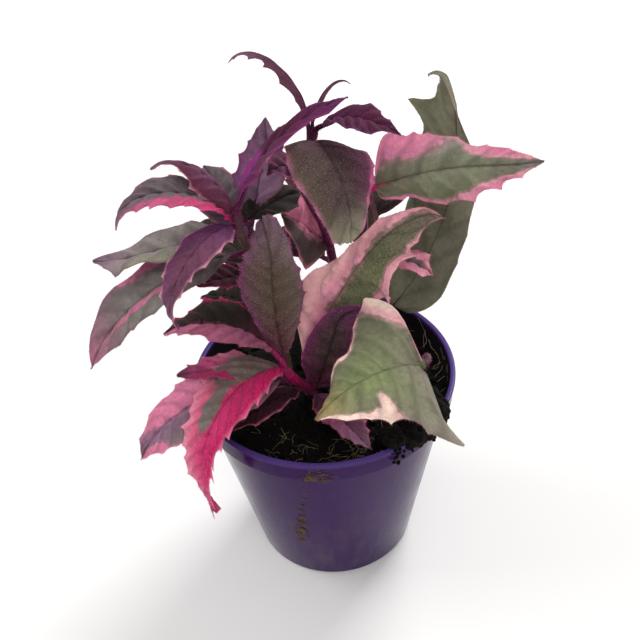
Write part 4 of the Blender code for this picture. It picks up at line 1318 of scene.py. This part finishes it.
def moulded_polypropylene():
    """Thin purple polypropylene from a polished mould: glossy, with faint flow marks, scuffs and dust."""
    material, tree, shader = new_material("moulded_polypropylene")
    coordinates = add(tree, "ShaderNodeTexCoord").outputs["Object"]
    # Flow marks of 9 mm and scuffs drawn out along the wall
    flow = add(tree, "ShaderNodeTexNoise", {"Vector": coordinates, "Scale": 1 / 0.009, "Detail": 3})
    stretched = add(tree, "ShaderNodeVectorMath", {0: coordinates, 1: (1, 1, 0.4)}, operation="MULTIPLY")
    scuffs = add(tree, "ShaderNodeTexNoise", {"Vector": stretched, "Scale": 1 / 0.004, "Detail": 4})
    deep = add(
        tree, "ShaderNodeMix", {0: flow, 6: linear("#2E0C46"), 7: linear("#381154")}, data_type="RGBA"
    )
    # Dust gathers low on the wall
    height = add(tree, "ShaderNodeSeparateXYZ", {0: coordinates})
    low = add(tree, "ShaderNodeMapRange", {0: height.outputs[2], 1: 0.0, 2: 0.05, 3: 0.16, 4: 0.02})
    dust_noise = add(tree, "ShaderNodeMapRange", {0: scuffs, 1: 0.4, 2: 0.75})
    dust = add(tree, "ShaderNodeMath", {0: dust_noise, 1: low}, operation="MULTIPLY")
    colour = add(
        tree, "ShaderNodeMix", {0: dust, 6: deep.outputs[2], 7: linear("#8C7C78")}, data_type="RGBA"
    )
    # The rolled lip is thinner, and it is painted a paler lilac towards its top: a painted highlight
    lip_highlight = add(
        tree, "ShaderNodeMapRange", {0: height.outputs[2], 1: LIP_FROM, 2: POT_HEIGHT, 3: 0.0, 4: 0.6}
    )
    lip_highlighted = add(
        tree, "ShaderNodeMix", {0: lip_highlight, 6: colour.outputs[2], 7: linear("#5C4A90")}, data_type="RGBA"
    )
    rough = add(tree, "ShaderNodeMapRange", {0: scuffs, 1: 0.3, 2: 0.7, 3: 0.14, 4: 0.24})
    bump = add(tree, "ShaderNodeBump", {"Strength": 0.15, "Distance": 0.0002, "Height": flow})
    feed(tree, shader, {
        "Base Color": lip_highlighted.outputs[2],
        "Roughness": rough,
        "Normal": bump,
        "IOR": 1.49,
        "Specular IOR Level": 0.12,
    })
    return material


def shaded_inner_polypropylene():
    """The same plastic inside, painted shade: nearly black and dull in smears, a darker purple between
    them.
    """
    material, tree, shader = new_material("shaded_inner_polypropylene")
    coordinates = add(tree, "ShaderNodeTexCoord").outputs["Object"]
    # Smears of 7 mm with grains of 1 mm in them
    smears = add(tree, "ShaderNodeTexNoise", {"Vector": coordinates, "Scale": 1 / 0.007, "Detail": 3})
    grains = add(tree, "ShaderNodeTexNoise", {"Vector": coordinates, "Scale": 1 / 0.001, "Detail": 3})
    cover = add(tree, "ShaderNodeMapRange", {0: smears, 1: 0.35, 2: 0.5, 3: 0.6, 4: 1.0})
    # Near black smears and a darker purple between them: painted shade of the pot's inside
    peat = add(
        tree, "ShaderNodeMix", {0: grains, 6: linear("#060507"), 7: linear("#15100F")}, data_type="RGBA"
    )
    colour = add(
        tree, "ShaderNodeMix", {0: cover, 6: linear("#221038"), 7: peat.outputs[2]}, data_type="RGBA"
    )
    rough = add(tree, "ShaderNodeMapRange", {0: cover, 1: 0.6, 2: 1.0, 3: 0.4, 4: 0.85})
    bump = add(tree, "ShaderNodeBump", {"Strength": 0.6, "Distance": 0.0003, "Height": grains})
    feed(tree, shader, {
        "Base Color": colour.outputs[2],
        "Roughness": rough,
        "Normal": bump,
        "IOR": 1.49,
        "Specular IOR Level": 0.2,
    })
    return material


def damp_peat():
    """Damp peat: nearly black crumbs, dull, with browner bits of fibre."""
    material, tree, shader = new_material("damp_peat")
    coordinates = add(tree, "ShaderNodeTexCoord").outputs["Object"]
    lumps = add(tree, "ShaderNodeTexNoise", {"Vector": coordinates, "Scale": 1 / 0.004, "Detail": 5})
    grain = add(tree, "ShaderNodeTexNoise", {"Vector": coordinates, "Scale": 1 / 0.0008, "Detail": 3})
    dark = add(
        tree, "ShaderNodeMix", {0: lumps, 6: linear("#040403"), 7: linear("#0E0B09")}, data_type="RGBA"
    )
    brown_bits = add(tree, "ShaderNodeMapRange", {0: grain, 1: 0.6, 2: 0.72, 3: 0.0, 4: 0.4})
    colour = add(
        tree, "ShaderNodeMix", {0: brown_bits, 6: dark.outputs[2], 7: linear("#4A3826")}, data_type="RGBA"
    )
    rough = add(tree, "ShaderNodeMapRange", {0: lumps, 1: 0.3, 2: 0.7, 3: 0.8, 4: 0.98})
    height = add(tree, "ShaderNodeMath", {0: grain, 1: 0.5, 2: lumps}, operation="MULTIPLY_ADD")
    bump = add(tree, "ShaderNodeBump", {"Strength": 1.0, "Distance": 0.0008, "Height": height})
    feed(tree, shader, {
        "Base Color": colour.outputs[2],
        "Roughness": rough,
        "Normal": bump,
        "Specular IOR Level": 0.15,
    })
    return material


def dry_root():
    """Dry root and peat fibre: tan, dull and streaked along."""
    material, tree, shader = new_material("dry_root")
    fibre_tint = add(tree, "ShaderNodeAttribute", attribute_name="face_tint").outputs["Color"]
    coordinates = add(tree, "ShaderNodeTexCoord").outputs["Object"]
    streaks = add(tree, "ShaderNodeTexNoise", {"Vector": coordinates, "Scale": 1 / 0.0007, "Detail": 2})
    tone = add(tree, "ShaderNodeMapRange", {0: streaks, 1: 0.3, 2: 0.7, 3: 0.6, 4: 1.25})
    toned = add(tree, "ShaderNodeVectorMath", {0: fibre_tint, "Scale": tone}, operation="SCALE")
    rough = add(tree, "ShaderNodeMapRange", {0: streaks, 1: 0.3, 2: 0.7, 3: 0.6, 4: 0.85})
    bump = add(tree, "ShaderNodeBump", {"Strength": 0.5, "Distance": 0.0001, "Height": streaks})
    feed(tree, shader, {"Base Color": toned, "Roughness": rough, "Normal": bump})
    return material


# The camera looks down on the plant from the front. Slope and tilt are in degrees, distances in metres
CAMERA_SLOPE = 39.4
CAMERA_TILT = -4.6
CAMERA_DISTANCE = 0.380
CAMERA_TARGET = (0.0, 0.0, 0.1085)
PICTURE_SIDE = 640
FOCAL_PIXELS = 1034
SENSOR_MM = 36
NEAREST = 0.01

# The floor's half side, the sky's and the floor's shades, and each lamp's name, place, power and size
FLOOR_REACH = 4
FLOOR_SHADE = "#F6F5F3"
SKY_SHADE = "#FFFFFF"
SKY_STRENGTH = 0.45
LAMPS_AIM = (0, 0, 0.1)
LAMPS = (
    ("back_right_softbox", (0.55, 0.75, 0.95), 12, 0.6),
    ("left_softbox", (-0.9, 0.15, 0.8), 5, 0.7),
    ("front_softbox", (0.1, -0.9, 1.0), 4.5, 0.8),
)


def make_camera():
    data = bpy.data.cameras.new("camera")
    data.sensor_width = SENSOR_MM
    data.lens = data.sensor_width * FOCAL_PIXELS / PICTURE_SIDE
    data.clip_start = NEAREST
    camera = placed("camera", data)
    slope, tilt = math.radians(CAMERA_SLOPE), math.radians(CAMERA_TILT)
    ahead = Vector((0, math.cos(slope), -math.sin(slope)))
    right = Vector((1, 0, 0))
    up = right.cross(ahead)
    tilted_right = right * math.cos(tilt) + up * math.sin(tilt)
    tilted_up = up * math.cos(tilt) - right * math.sin(tilt)
    turn = Matrix((tilted_right, tilted_up, -ahead)).transposed().to_4x4()
    turn.translation = Vector(CAMERA_TARGET) - ahead * CAMERA_DISTANCE
    camera.matrix_world = turn
    bpy.context.scene.camera = camera


def make_studio():
    """A pale floor, a bright even sky and three large soft lamps."""
    scene = bpy.context.scene
    scene.view_settings.view_transform = "Standard"
    work = bmesh.new()
    bmesh.ops.create_grid(work, x_segments=1, y_segments=1, size=FLOOR_REACH)
    mesh = worked_mesh("floor", work)
    floor = placed("floor", mesh)
    material, tree, shader = new_material("pale_floor")
    feed(tree, shader, {"Base Color": linear(FLOOR_SHADE), "Roughness": 0.9})
    mesh.materials.append(material)
    world = bpy.data.worlds.new("sky")
    world.use_nodes = True
    sky = world.node_tree.nodes["Background"]
    feed(world.node_tree, sky, {"Color": linear(SKY_SHADE), "Strength": SKY_STRENGTH})
    scene.world = world
    for name, place, power, size in LAMPS:
        data = bpy.data.lights.new(name, "AREA")
        data.energy = power
        data.size = size
        lamp = placed(name, data)
        lamp.location = place
        lamp.rotation_euler = (Vector(LAMPS_AIM) - Vector(place)).to_track_quat("-Z", "Y").to_euler()


def main():
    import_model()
    make_camera()
    make_studio()
    leafy = [velvet_leaf(), hairy_stem()]
    hair = plant_hair()
    for order, (name, shoot) in enumerate(SHOOTS.items()):
        make_shoot(name, order, shoot, leafy, hair)
    make_pot(moulded_polypropylene(), shaded_inner_polypropylene())
    make_soil(damp_peat())
    root = dry_root()
    make_rootlets(root)
    make_dried_peat(root)


main()
